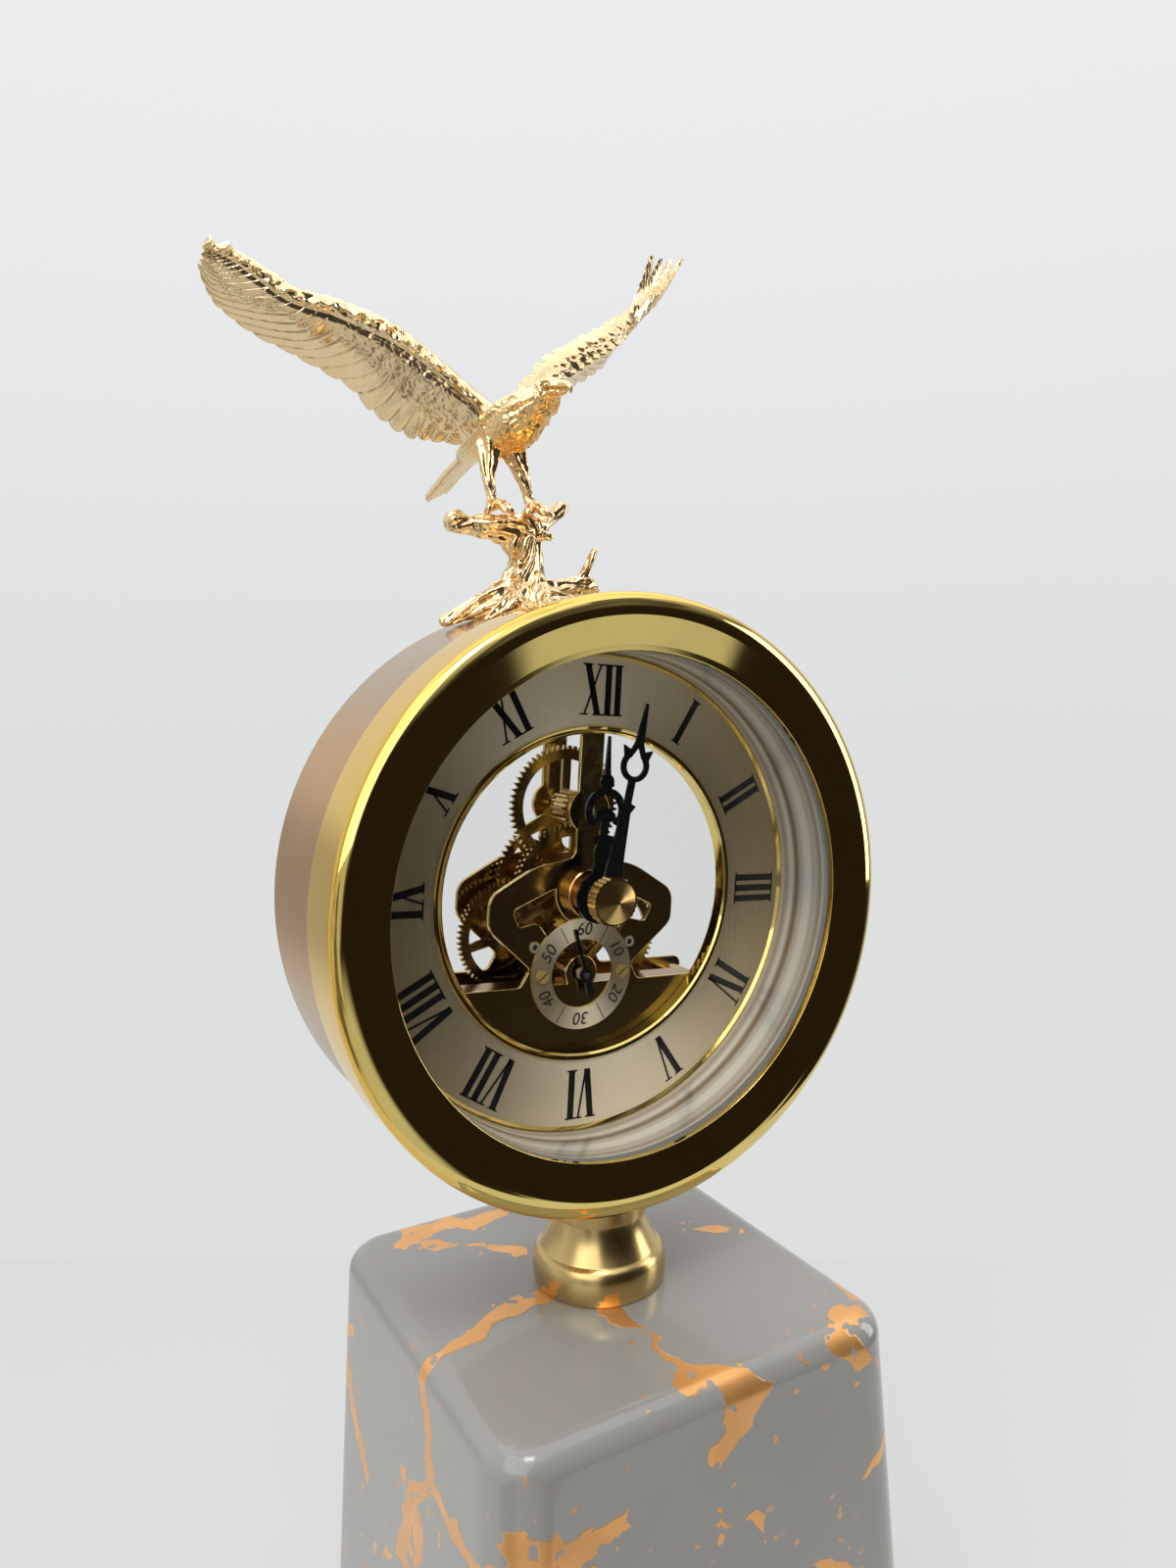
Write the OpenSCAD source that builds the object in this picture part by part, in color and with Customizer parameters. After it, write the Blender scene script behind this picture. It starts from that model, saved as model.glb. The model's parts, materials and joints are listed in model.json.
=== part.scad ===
// Clock with eagle sculpture: drum clock with an open gear train on a ceramic plinth.
// Millimetres, +Z up, the dial faces -Y, the origin is the middle of the plinth's underside.

/* [Plinth] */
// Height of the plinth with its felt
base_height = 150; // [110:1:200]
// Width of the plinth's top, measured to the virtual corners
base_top = 115.5; // [95:0.5:125]
// Width of the plinth's foot
base_foot = 130; // [110:1:150]
// Wall of the ceramic shell
base_wall = 6; // [4:0.5:9]
// Corner radius of the plinth in plan
base_corner = 13; // [7:0.5:16]
// Radius of the rolled top edge
base_roll = 6; // [3:0.5:8]
// Thickness of the felt under the plinth
felt_t = 1.5; // [1:0.5:3]
// Thickness of the board that closes the plinth
board_t = 4; // [3:0.5:8]

/* [Neck] */
// Height of the collar from the plinth to the case
collar_h = 29.9; // [25:0.1:40]
// Radius of the collar's foot ring
collar_foot_r = 18.6; // [17:0.2:24]
// Radius of the collar under the case
collar_top_r = 13.7; // [12:0.1:15]
// Height of the collar's barrel-shaped foot
collar_foot_h = 10.3; // [8:0.1:12]
// Height where the collar's straight neck starts
collar_neck_h = 20; // [16:0.5:23]
// How far the middle of the case sits behind the collar
case_setback = 2.6; // [0:0.2:3.6]
// Radius of the rod that clamps plinth, collar and case
stud_r = 4; // [3:0.5:5]

/* [Case] */
// Diameter of the dial, which sets the sizes of drum and bezel
dial_d = 133; // [131:0.5:136]
// Distance from the dial's edge to the drum's outside
case_wall = 12; // [10:0.2:14]
// Wall of the drum
drum_wall = 2; // [1.5:0.1:2.6]
// Step from the drum out to the bezel
bezel_step = 1.5; // [0.8:0.1:3]
// Depth of the bezel
bezel_depth = 19.2; // [14:0.2:24]
// Width of the dial's edge that the bezel covers
sight_cover = 1; // [0.6:0.1:2]
// Thickness of the front glass
glass_t = 2.2; // [1.6:0.2:3]
// Thickness of the rear glass
rear_glass_t = 2; // [1.4:0.2:2.2]
// Room between the back plate and the rear glass
rear_room = 1; // [1:0.1:3]

/* [Dial] */
// Diameter of the hole in the chapter ring
dial_hole_d = 90; // [84:0.5:94]
// Depth of the dial's face behind the bezel's front
dial_recess = 25.9; // [25:0.1:28]
// Thickness of the chapter ring
dial_t = 1.5; // [1:0.1:1.8]
// Width of the polished ring round the dial's hole
inner_trim_w = 2.1; // [1.5:0.1:3]
// Width of the polished ring at the dial's edge
outer_trim_w = 1.2; // [0.8:0.1:2]
// Angle that the movement and dial stand turned in the case, as photographed
movement_turn = 4.5; // [-10:0.5:10]

/* [Movement] */
// Thickness of each movement plate
plate_t = 1.5; // [1:0.1:2]
// Distance between the two plates
plate_gap = 19.9; // [19.9:0.1:21]
// Radius of the plates' bottom segment
plate_r = 56; // [52.5:0.5:57]
// Half-width of the plates' post
post_half = 3.6; // [3:0.1:4.5]
// Top edge of the bottom segment, below the centre
segment_drop = 25.4; // [24.5:0.1:26.5]
// Reach of the plates' wings from the centre line
wing_reach = 28.9; // [27:0.1:31]
// Distance of the seconds arbor below the centre
seconds_drop = 22.6; // [22.2:0.1:23]
// Outer diameter of the seconds dial
seconds_dial_d = 31; // [29:0.2:31.2]
// Hole of the seconds dial
seconds_hole_d = 19.2; // [17:0.2:20]

/* [Train] */
// Module of the motion work: minute pinion, upper wheel, upper pinion, hour wheel
motion_module = 0.56; // [0.54:0.01:0.57]
// Module of the minute wheel and the left pinion
minute_module = 0.58; // [0.57:0.01:0.6]
// Module of the side wheels and the seconds pinion
second_module = 0.5; // [0.49:0.01:0.51]
// Teeth of the hour wheel
hour_teeth = 64; // [64]
// Teeth of the upper pinion
upper_pinion_teeth = 16; // [16]
// Teeth of the upper wheel
upper_teeth = 60; // [60]
// Teeth of the minute pinion
minute_pinion_teeth = 20; // [20]
// Teeth of the minute wheel
minute_teeth = 64; // [64]
// Teeth of the left pinion
side_pinion_teeth = 8; // [8]
// Teeth of each side wheel
side_teeth = 60; // [60]
// Teeth of the seconds pinion
second_pinion_teeth = 8; // [8]
// Thickness of a wheel
wheel_t = 1.2; // [0.8:0.1:1.2]

/* [Hands] */
// Length of the minute hand from its centre
minute_len = 53.2; // [50:0.2:56]
// Length of the hour hand from its centre
hour_len = 43.3; // [40:0.2:46]
// Length of the seconds hand from its centre
second_len = 13.5; // [11:0.1:14.5]
// Thickness of the hands
hand_t = 0.8; // [0.5:0.1:1]
// Direction of the minute hand on the dial at rest
minute_at = 9.9; // [0:0.1:359]
// Direction of the hour hand on the dial at rest
hour_at = 0.3; // [0:0.1:359]
// Direction of the seconds hand on its dial at rest
second_at = -18; // [-180:1:180]

/* [Sculpture] */
// Height of the tree stump above the drum
stump_h = 25; // [20:0.5:32]
// Height of the bird's back above the stump
bird_h = 31; // [26:0.5:38]
// Span of the wings
span = 150; // [120:1:180]
// Angle round the drum at which the stump stands, as photographed
stump_turn = -8; // [-12:0.5:12]
// Distance of the stump behind the middle of the case
stump_back = 14.6; // [11:0.2:15]

/* [Hidden] */

$fn = 96;
edge_facet_count = 24;
over = 1;
seat_gap = 0.05;
run_gap = 0.05;
air_gap = 0.3;

drum_r = dial_d / 2 + case_wall;
bezel_r = drum_r + bezel_step;
sight_r = dial_d / 2 - sight_cover;
axis_z = base_height + collar_h + drum_r;

champagne = [0.78, 0.68, 0.58];
polished_gold = [0.86, 0.70, 0.30];
brass = [0.72, 0.55, 0.25];
eagle_gold = [0.85, 0.76, 0.58];
steel = [0.75, 0.76, 0.78];
ink = [0.05, 0.05, 0.05];

// Bezel profile
bezel_edge = 3.3;
bezel_round = 5.8;
bezel_flat_r = bezel_r - bezel_round;
sight_dip = 2.7;
lip_t = 1.6;
glass_d0 = sight_dip + lip_t;
glass_end = glass_d0 + glass_t + seat_gap;
case_bore_r = drum_r - drum_wall - seat_gap;

// Depths of the dial and movement
dial_back = dial_recess + dial_t;
plate_stand = 1.9;
front_plate_d = dial_back + plate_stand;
front_plate_end = front_plate_d + plate_t;
back_plate_d = front_plate_end + plate_gap;
back_plate_end = back_plate_d + plate_t;
rear_ring_t = 4.8;
rear_glass_dip = 0.2;
rear_glass_d = back_plate_end + rear_room;
case_depth = rear_glass_d + rear_glass_t + rear_glass_dip;
rear_ring_d = case_depth - rear_ring_t;

// Depths are counted from the bezel's front edge towards the rear
function depth(d) = d - case_depth / 2;

// Depths of the hands, forward of the front plate
hour_hand_stand = 8.4;
minute_hand_stand = 12.3;
second_hand_stand = 3;
hour_hand_d = front_plate_d - hour_hand_stand;
minute_hand_d = front_plate_d - minute_hand_stand;
second_hand_d = front_plate_d - second_hand_stand;
nut_h = 4;
nut_cone_h = 1.6;
nut_r = 6.6;

// Tooth proportions in modules: tip height, root depth, share of the pitch that the tooth keeps
tip_share = 0.85;
root_share = 1.15;
tooth_share = 0.86;
pressure_angle = 20;

// Depths of the train, behind the front plate
hour_wheel_in = 5.9;
right_pitch = 3.2;
upper_pitch = 3.6;
left_pitch = 2;
minute_pitch = 2.4;
hour_wheel_d = front_plate_end + hour_wheel_in;
right_wheel_d = hour_wheel_d + right_pitch;
upper_wheel_d = right_wheel_d + upper_pitch;
left_wheel_d = upper_wheel_d + left_pitch;
minute_wheel_d = left_wheel_d + minute_pitch;
pinion_over = 0.3;

arbor_r = 1.2;
pivot_r = 0.8;
bush_r = 1.35;
bush_out = 0.5;
minute_arbor_r = 1.9;
minute_thread_r = 1.5;
pipe_r = 3.6;
hour_bush_r = 6;
second_arbor_r = 0.9;
hub_r = 2.9;

motion_centre = motion_module * (hour_teeth + upper_pinion_teeth) / 2;
left_centre = minute_module * (minute_teeth + side_pinion_teeth) / 2;
second_centre = second_module * (side_teeth + second_pinion_teeth) / 2;
side_z = -(pow(left_centre, 2) + pow(seconds_drop, 2) - pow(second_centre, 2)) / (2 * seconds_drop);
side_x = sqrt(pow(left_centre, 2) - pow(side_z, 2));

// Motor and battery
motor_drop = 30.6;
motor_half = 39.5;
tower_r = 4.6;
tower_depth = 5.2;
block_depth = 7.4;
cell_r = 7.25;
cell_len = 50.5;
cell_wall = 1;
cell_gap = 0.4;
cell_z = -(motor_drop + cell_wall + cell_gap + cell_r);
contact_t = 0.4;
cell_d = back_plate_end - cell_r - cell_gap;

// Pillars and dial feet
pillar_r = 2.4;
foot_shank_r = 1.2;
pillar_land = 0.8;
pillar_ring_r = plate_r - pillar_r - pillar_land;
post_top = plate_r;
pillar_angle = 34;

// Places (x, z) of the three pillars
PILLARS = [for (a = [90, -pillar_angle, 180 + pillar_angle]) pillar_ring_r * [cos(a), sin(a)]];

// Placing helpers

// Moves to the clock's axis: x right, z up from the centre, y from the middle of the case
module at_axis() {
    translate([0, case_setback, axis_z]) children();
}

// The movement's own frame, turned in the case
module in_movement() {
    at_axis() rotate([0, movement_turn, 0]) children();
}

// Extrudes an outline in x and z, from depth d over a thickness
module slab(d, thick) {
    translate([0, depth(d) + thick, 0])
        rotate([90, 0, 0]) linear_extrude(height = thick) children();
}

// Revolves a profile of [radius, depth] points about the clock's axis
module lathe(profile) {
    rotate([-90, 0, 0])
        rotate_extrude() polygon([for (p = profile) [p[0], depth(p[1])]]);
}

// A round bar along the depth, from depth d over a length
module bar(r, d, len) {
    translate([0, depth(d), 0]) rotate([-90, 0, 0]) cylinder(h = len, r = r);
}

// A flat ring along the depth
module washer(r_out, r_in, d, thick) {
    difference() {
        bar(r_out, d, thick);
        bar(r_in, d - over, thick + 2 * over);
    }
}

// Outline helpers

function unit(v) = v / norm(v);

// Points of one rounded corner b between a and c
function corner(a, b, c, r, steps = 6) =
    let (u = unit(a - b), w = unit(c - b), half = acos(u * w) / 2,
         cut = r / tan(half), mid = b + unit(u + w) * r / sin(half),
         p = b + u * cut - mid, side = sign(p[0] * (b + w * cut - mid)[1] - p[1] * (b + w * cut - mid)[0]),
         swing = side * (180 - 2 * half))
    r == 0 ? [b] :
    [for (i = [0:steps]) let (t = swing * i / steps)
        mid + [p[0] * cos(t) - p[1] * sin(t), p[0] * sin(t) + p[1] * cos(t)]];

// An outline of [x, z, radius] corners with each corner rounded
function rounded(cs) = let (n = len(cs))
    [for (i = [0:n - 1]) let (a = cs[(i + n - 1) % n], b = cs[i], c = cs[(i + 1) % n])
        each corner([a[0], a[1]], [b[0], b[1]], [c[0], c[1]], b[2])];

// A half outline on the right, closed by its mirror image on the left
function both_sides(cs) = let (n = len(cs))
    concat(cs, [for (i = [n - 1:-1:0]) [-cs[i][0], cs[i][1], cs[i][2]]]);

// Gears

function involute(a) = tan(a) * 180 / PI - a;

// Half the angle that a tooth takes at radius r
function tooth_half(n, m, r) =
    let (base = m * n / 2 * cos(pressure_angle), a = acos(base / max(r, base)))
    90 / n * tooth_share + involute(pressure_angle) - involute(a);

// Outline of an involute gear with a tooth centred at angle phase
function gear_points(n, m, phase) =
    let (pitch = m * n / 2, root = pitch - root_share * m, tip = pitch + tip_share * m,
         steps = n > 30 ? [root, pitch, tip] : [root, (root + pitch) / 2, pitch, tip])
    [for (i = [0:n - 1]) let (c = phase + 360 * i / n)
        each concat(
            [for (r = steps) r * [cos(c - tooth_half(n, m, r)), sin(c - tooth_half(n, m, r))]],
            [for (k = [len(steps) - 1:-1:0]) let (r = steps[k])
                r * [cos(c + tooth_half(n, m, r)), sin(c + tooth_half(n, m, r))]])];

// Tooth angle of a gear of nb teeth that meshes with na teeth at angle pa, seen in direction dir
function meshed(pa, na, nb, dir) = dir + 180 - (pa - dir) * na / nb - 180 / nb;

upper_phase = meshed(0, minute_pinion_teeth, upper_teeth, 90);
hour_phase = meshed(0, upper_pinion_teeth, hour_teeth, -90);
left_dir = 180 + atan2(-side_z, side_x);
left_phase = meshed(0, minute_teeth, side_pinion_teeth, left_dir);
left_second_dir = atan2(-seconds_drop - side_z, side_x);
second_phase = meshed(0, side_teeth, second_pinion_teeth, left_second_dir);
right_dir = atan2(side_z + seconds_drop, side_x);
right_phase = meshed(second_phase, second_pinion_teeth, side_teeth, right_dir);

// Spoked wheel: toothed rim, hub and spokes, with a round hole
module spoked(n, m, phase, bore, spokes, first, rim, spoke_w) {
    inside = m * n / 2 - root_share * m - rim;
    difference() {
        union() {
            difference() {
                polygon(gear_points(n, m, phase));
                circle(r = inside);
            }
            circle(r = hub_r);
            for (i = [0:spokes - 1])
                rotate(first + 360 * i / spokes) translate([0, -spoke_w / 2])
                    square([inside + rim / 2, spoke_w]);
        }
        circle(r = bore);
    }
}

// Plinth and neck

// Square pillar of four round corners, used for shell and hollow
module square_hull(top, foot, low, high, corner_r, roll) {
    hull() {
        for (x = [-1, 1], y = [-1, 1]) {
            translate([x * (foot / 2 - corner_r), y * (foot / 2 - corner_r), low])
                cylinder(h = roll, r = corner_r, $fn = edge_facet_count);
            translate([x * (top / 2 - corner_r), y * (top / 2 - corner_r), high - roll])
                rotate_extrude($fn = edge_facet_count)
                    difference() {
                        translate([corner_r - roll, 0]) circle(r = roll);
                        translate([-corner_r, -roll]) square([corner_r, 2 * roll]);
                    }
        }
    }
}

base_clear_r = stud_r + air_gap;

module ceramic_base() {
    color([0.55, 0.55, 0.53])
    difference() {
        square_hull(base_top, base_foot, felt_t, base_height, base_corner, base_roll);
        square_hull(base_top - 2 * base_wall, base_foot - 2 * base_wall, felt_t - base_wall,
                    base_height - base_wall, base_corner - base_wall / 2, base_wall / 4);
        translate([0, 0, base_height / 2]) cylinder(h = base_height, r = base_clear_r);
    }
}

board_play = 1.6;
board_w = base_foot - 2 * base_wall - board_play;

felt_inset = 0.5;

module rounded_plate(w, t, r) {
    linear_extrude(height = t)
        polygon(rounded([[w / 2, w / 2, r], [-w / 2, w / 2, r], [-w / 2, -w / 2, r], [w / 2, -w / 2, r]]));
}

module bottom_board() {
    color([0.62, 0.5, 0.36])
    translate([0, 0, felt_t]) rounded_plate(board_w, board_t, base_corner - base_wall / 2);
}

module base_felt() {
    color([0.12, 0.14, 0.12])
    rounded_plate(base_foot - 2 * felt_inset, felt_t, base_corner);
}

// Barrel foot of the collar: shares of its radius and of its height
barrel_shares = [[0.945, 0], [0.975, 0.08], [0.994, 0.25], [1, 0.45], [0.988, 0.66], [0.958, 0.84],
    [0.92, 0.95], [0.885, 1]];
waist_share = 0.94;
waist_curve = 1.7;
neck_step = 0.4;
curve_steps = 8;

// Profile of the collar: barrel foot, hollow taper, then a straight neck that starts with a small step
function collar_profile() = let (
        crease = collar_foot_r * barrel_shares[7][0],
        waist = collar_top_r * waist_share)
    concat(
        [[0, 0]],
        [for (b = barrel_shares) [collar_foot_r * b[0], collar_foot_h * b[1]]],
        [for (i = [1:curve_steps]) let (t = i / curve_steps)
            [waist + (crease - waist) * pow(1 - t, waist_curve),
             collar_foot_h + (collar_neck_h - collar_foot_h) * t]],
        [[collar_top_r - neck_step / 2, collar_neck_h + neck_step / 2],
         [collar_top_r, collar_neck_h + 2 * neck_step],
         [collar_top_r, collar_h + drum_wall * 2],
         [0, collar_h + drum_wall * 2]]);

module neck_collar() {
    color(brass)
    difference() {
        translate([0, 0, base_height]) rotate_extrude() polygon(collar_profile());
        at_axis() bar(drum_r, 0, case_depth);
        at_axis() bar(bezel_r + seat_gap, 0, bezel_depth + seat_gap);
        translate([0, 0, base_height - over])
            cylinder(h = collar_h + drum_r, r = stud_r + air_gap);
    }
}

washer_r = 14;
washer_t = 2;
nut_flat_r = 7.5;
base_nut_h = 6.5;
stud_low = base_height - base_wall - washer_t - base_nut_h - stud_r;
stud_bite = 5;
stud_up = axis_z - drum_r + drum_wall + stud_bite;

module neck_stud() {
    color(steel)
    translate([0, 0, stud_low]) cylinder(h = stud_up - stud_low, r = stud_r);
}

module base_washer() {
    color(steel)
    translate([0, 0, base_height - base_wall - washer_t])
        difference() {
            cylinder(h = washer_t, r = washer_r);
            translate([0, 0, -over]) cylinder(h = washer_t + 2 * over, r = stud_r + seat_gap);
        }
}

module base_nut() {
    color(steel)
    translate([0, 0, base_height - base_wall - washer_t - base_nut_h])
        difference() {
            cylinder(h = base_nut_h, r = nut_flat_r, $fn = 6);
            translate([0, 0, -over]) cylinder(h = base_nut_h + 2 * over, r = stud_r + seat_gap);
        }
}

// Case

// Front profile of the bezel: round outer edge, then a face that falls towards the sight
function bezel_front() = concat(
    [for (i = [0:6]) let (a = 90 * i / 6)
        [bezel_flat_r + (bezel_r - bezel_flat_r) * cos(a), bezel_edge * (1 - sin(a))]],
    [[sight_r + lip_t, sight_dip - lip_t / 4], [sight_r, sight_dip]]);

// Chamfer at the back edge of the bezel's rim
bezel_chamfer = 0.6;

module bezel() {
    color(polished_gold)
    at_axis() lathe(concat(
        [[bezel_r - bezel_chamfer, bezel_depth], [bezel_r, bezel_depth - bezel_chamfer]],
        bezel_front(),
        [[sight_r, glass_d0], [case_bore_r + seat_gap, glass_d0],
         [case_bore_r + seat_gap, bezel_depth]]));
}

stump_screw_r = 2;

// Moves to the drum's top where the stump stands, with z pointing out of the drum
module at_stump() {
    at_axis() rotate([0, stump_turn, 0]) translate([0, stump_back, drum_r]) children();
}

module case_drum() {
    color(champagne)
    difference() {
        at_axis()
            washer(drum_r, drum_r - drum_wall, bezel_depth + seat_gap, case_depth - bezel_depth - seat_gap);
        translate([0, 0, stud_low]) cylinder(h = axis_z - stud_low - drum_r / 2, r = stud_r + air_gap);
        at_stump() translate([0, 0, -drum_r / 2]) cylinder(h = drum_r, r = stump_screw_r + air_gap);
    }
}

module front_glass() {
    color([0.85, 0.9, 0.92, 0.3])
    at_axis() bar(case_bore_r - air_gap, glass_d0 + seat_gap, glass_t);
}

inner_r = dial_d / 2 + air_gap / 3;
inner_t = 1;

module inner_ring() {
    color(champagne)
    at_axis()
        washer(inner_r + inner_t, sight_r, glass_end + seat_gap, dial_recess - glass_end - 2 * seat_gap);
}

shelf_w = 4;
shelf_r = dial_d / 2 - shelf_w;
shelf_t = 4;
screw_head_r = 3.4;
screw_head_h = 2.4;

module carrier_ring() {
    color([0.16, 0.15, 0.14])
    difference() {
        at_axis() lathe([
            [case_bore_r - seat_gap, glass_end + seat_gap],
            [inner_r + inner_t + seat_gap, glass_end + seat_gap],
            [inner_r + inner_t + seat_gap, dial_back + seat_gap],
            [shelf_r, dial_back + seat_gap],
            [shelf_r, dial_back + shelf_t],
            [inner_r + inner_t + seat_gap, dial_back + shelf_t + inner_t],
            [inner_r + inner_t + seat_gap, rear_ring_d - seat_gap],
            [case_bore_r - seat_gap, rear_ring_d - seat_gap]]);
        translate([0, 0, stud_low]) cylinder(h = stud_up + air_gap - stud_low, r = stud_r + seat_gap);
        at_stump() translate([0, 0, -drum_r / 2]) cylinder(h = drum_r, r = stump_screw_r + air_gap);
        at_stump() translate([0, 0, -drum_r / 2])
            cylinder(h = drum_r / 2 - drum_wall - stump_shank_in, r = screw_head_r + air_gap);
    }
}

rear_sight_r = dial_d / 2 - shelf_w / 4;
rear_glass_r = rear_sight_r + shelf_w;

module rear_ring() {
    color(champagne)
    at_axis() lathe([
        [case_bore_r - seat_gap, rear_ring_d], [rear_sight_r, rear_ring_d],
        [rear_sight_r, rear_glass_d - seat_gap], [rear_glass_r + seat_gap, rear_glass_d - seat_gap],
        [rear_glass_r + seat_gap, case_depth], [case_bore_r - seat_gap, case_depth]]);
}

knob_r = 7.5;
knob_neck_r = 4;
knob_hole_r = 9;

module rear_glass() {
    color([0.85, 0.9, 0.92, 0.3])
    at_axis() washer(rear_glass_r, knob_hole_r, rear_glass_d, rear_glass_t);
}

// Dial

module chapter_ring() {
    color([0.76, 0.70, 0.60])
    in_movement() washer(dial_d / 2, dial_hole_d / 2, dial_recess, dial_t);
}

trim_lift = 0.5;

module dial_outer_trim() {
    color(polished_gold)
    in_movement() lathe([
        [sight_r - seat_gap, dial_recess], [sight_r - seat_gap, dial_recess - trim_lift],
        [sight_r - outer_trim_w / 2, dial_recess - 2 * trim_lift],
        [sight_r - outer_trim_w, dial_recess]]);
}

trim_tube = 3.2;
trim_r = dial_hole_d / 2 - seat_gap;

// Gold ring in the dial's hole: a lip on the face and a short tube behind it
module dial_inner_trim() {
    color(polished_gold)
    in_movement() lathe([
        [dial_hole_d / 2 + inner_trim_w / 2, dial_recess],
        [dial_hole_d / 2 + inner_trim_w / 3, dial_recess - trim_lift],
        [trim_r, dial_recess - trim_lift / 2],
        [trim_r - inner_trim_w / 4, dial_recess - 2 * trim_lift],
        [trim_r - inner_trim_w / 2, dial_recess - trim_lift],
        [trim_r - inner_trim_w / 2, dial_recess + trim_tube],
        [trim_r, dial_recess + trim_tube], [trim_r, dial_recess]]);
}

shank_len = 6;

module dial_feet() {
    color(brass)
    in_movement() for (p = PILLARS) translate([p[0], 0, p[1]]) {
        bar(pillar_r, dial_back, plate_stand);
        bar(foot_shank_r, front_plate_d, plate_t + shank_len);
    }
}

// Movement plates

// Right half of the plate's outline from the post's top to the bottom segment
wing_top_share = 0.54;
waist_half = 16;
function plate_half(top) = concat([[post_half, top, post_half / 4]], boss_arc(), [
    [post_half, post_half * 2.7, post_half * 0.8],
    [wing_reach * wing_top_share, post_half * 2.05, wing_reach * 0.7],
    [wing_reach, -post_half * 0.1, post_half * 1.5],
    [wing_reach, -post_half * 2.6, post_half * 1.4],
    [waist_half, -segment_drop + post_half * 1.3, post_half * 0.4],
    [waist_half + post_half * 0.7, -segment_drop, post_half * 0.6],
    [sqrt(pow(plate_r, 2) - pow(segment_drop, 2)), -segment_drop, post_half * 0.7]]);

// Round boss that swells the post at the upper arbor, right half
function boss_arc() = let (a = acos(post_half / pivot_boss_r))
    [for (i = [0:arc_steps]) let (t = a - 2 * a * i / arc_steps)
        [pivot_boss_r * cos(t), motion_centre + pivot_boss_r * sin(t), 0]];

// Lower edge of the bottom segment as an arc
arc_steps = 24;
function segment_arc() = let (a = asin(segment_drop / plate_r))
    [for (i = [1:arc_steps - 1]) let (t = -a - (180 - 2 * a) * i / arc_steps)
        [plate_r * cos(t), plate_r * sin(t)]];

function plate_points(top) = let (right = plate_half(top), n = len(right))
    rounded(concat(right, [for (p = segment_arc()) [p[0], p[1], 0]],
        [for (i = [n - 1:-1:0]) [-right[i][0], right[i][1], right[i][2]]]));

boss_r = 9.2;
pivot_boss_r = 6.4;
omega_r = 5;
window_half = 10.4;

// Hand-drawn shape of the front plate's window, right half
function window_half_points() = [
    [window_half * 0.55, post_half * 0.55, 0],
    [window_half, post_half * 0.2, post_half * 0.3],
    [wing_reach * 0.76, -post_half * 1.25, post_half * 0.3],
    [wing_reach * 0.68, -post_half * 2.5, post_half * 0.35],
    [window_half * 1.38, -post_half * 2.15, post_half * 0.6],
    [window_half, -post_half * 3.5, post_half * 0.6],
    [window_half, -segment_drop, 0]];

module window_shape() {
    difference() {
        polygon(rounded(both_sides(window_half_points())));
        circle(r = boss_r);
        translate([0, -seconds_drop]) circle(r = omega_r);
        translate([-omega_r * 0.8, -segment_drop - over])
            square([omega_r * 1.6, segment_drop - seconds_drop + over]);
    }
}

seconds_screw_x = (seconds_dial_d + seconds_hole_d) / 4;
seconds_screw_r = 0.9;

module front_plate() {
    color(polished_gold)
    in_movement() slab(front_plate_d, plate_t) difference() {
        polygon(plate_points(post_top));
        window_shape();
        for (p = PILLARS) translate(p) circle(r = foot_shank_r + run_gap);
        circle(r = hour_bush_r);
        translate([0, motion_centre]) circle(r = bush_r);
        translate([0, -seconds_drop]) circle(r = bush_r);
        for (s = [-1, 1]) {
            translate([s * side_x, side_z]) circle(r = bush_r);
            translate([s * seconds_screw_x, -seconds_drop]) circle(r = seconds_screw_r);
        }
    }
}

module back_plate() {
    color(polished_gold)
    in_movement() slab(back_plate_d, plate_t) difference() {
        polygon(plate_points(post_top));
        for (p = PILLARS) translate(p) circle(r = foot_shank_r + run_gap);
        circle(r = rear_bush_r);
        translate([0, motion_centre]) circle(r = bush_r);
        translate([0, -seconds_drop]) circle(r = bush_r);
        for (s = [-1, 1]) translate([s * side_x, side_z]) circle(r = bush_r);
        translate([-cell_len / 2 - cell_gap - contact_t, cell_z - cell_r - cell_gap])
            square([cell_len + 2 * cell_gap + 2 * contact_t, 2 * cell_r + 2 * cell_gap]);
    }
}

module plate_pillars() {
    color(brass)
    in_movement() for (p = PILLARS) translate([p[0], 0, p[1]])
        difference() {
            bar(pillar_r, front_plate_end, plate_gap);
            bar(foot_shank_r + run_gap, front_plate_end - over, shank_len + over + air_gap);
            bar(foot_shank_r + run_gap, back_plate_d - shank_len - air_gap, shank_len + over + air_gap);
        }
}

pillar_head_h = 0.8;

module pillar_screws() {
    color(steel)
    in_movement() for (p = PILLARS) translate([p[0], 0, p[1]]) {
        bar(foot_shank_r, back_plate_d - shank_len, shank_len + plate_t);
        bar(pillar_r * 0.9, back_plate_end, pillar_head_h);
    }
}

// Bearings

bush_barrel = 4;
bush_flange = 3;
flange_r = 6.8;
rear_bush_r = 4;
barrel_r = 5.4;

// Stepped collar in the front plate that the hour pipe turns in
module hour_bush() {
    color([0.76, 0.5, 0.26])
    in_movement() lathe([
        [pipe_r + run_gap, front_plate_end],
        [hour_bush_r - seat_gap, front_plate_end],
        [hour_bush_r - seat_gap, front_plate_d],
        [flange_r, front_plate_d],
        [flange_r, front_plate_d - bush_flange + air_gap],
        [flange_r - air_gap, front_plate_d - bush_flange],
        [barrel_r, front_plate_d - bush_flange],
        [barrel_r, front_plate_d - bush_flange - bush_barrel + air_gap],
        [barrel_r - air_gap, front_plate_d - bush_flange - bush_barrel],
        [pipe_r + run_gap, front_plate_d - bush_flange - bush_barrel]]);
}

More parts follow.
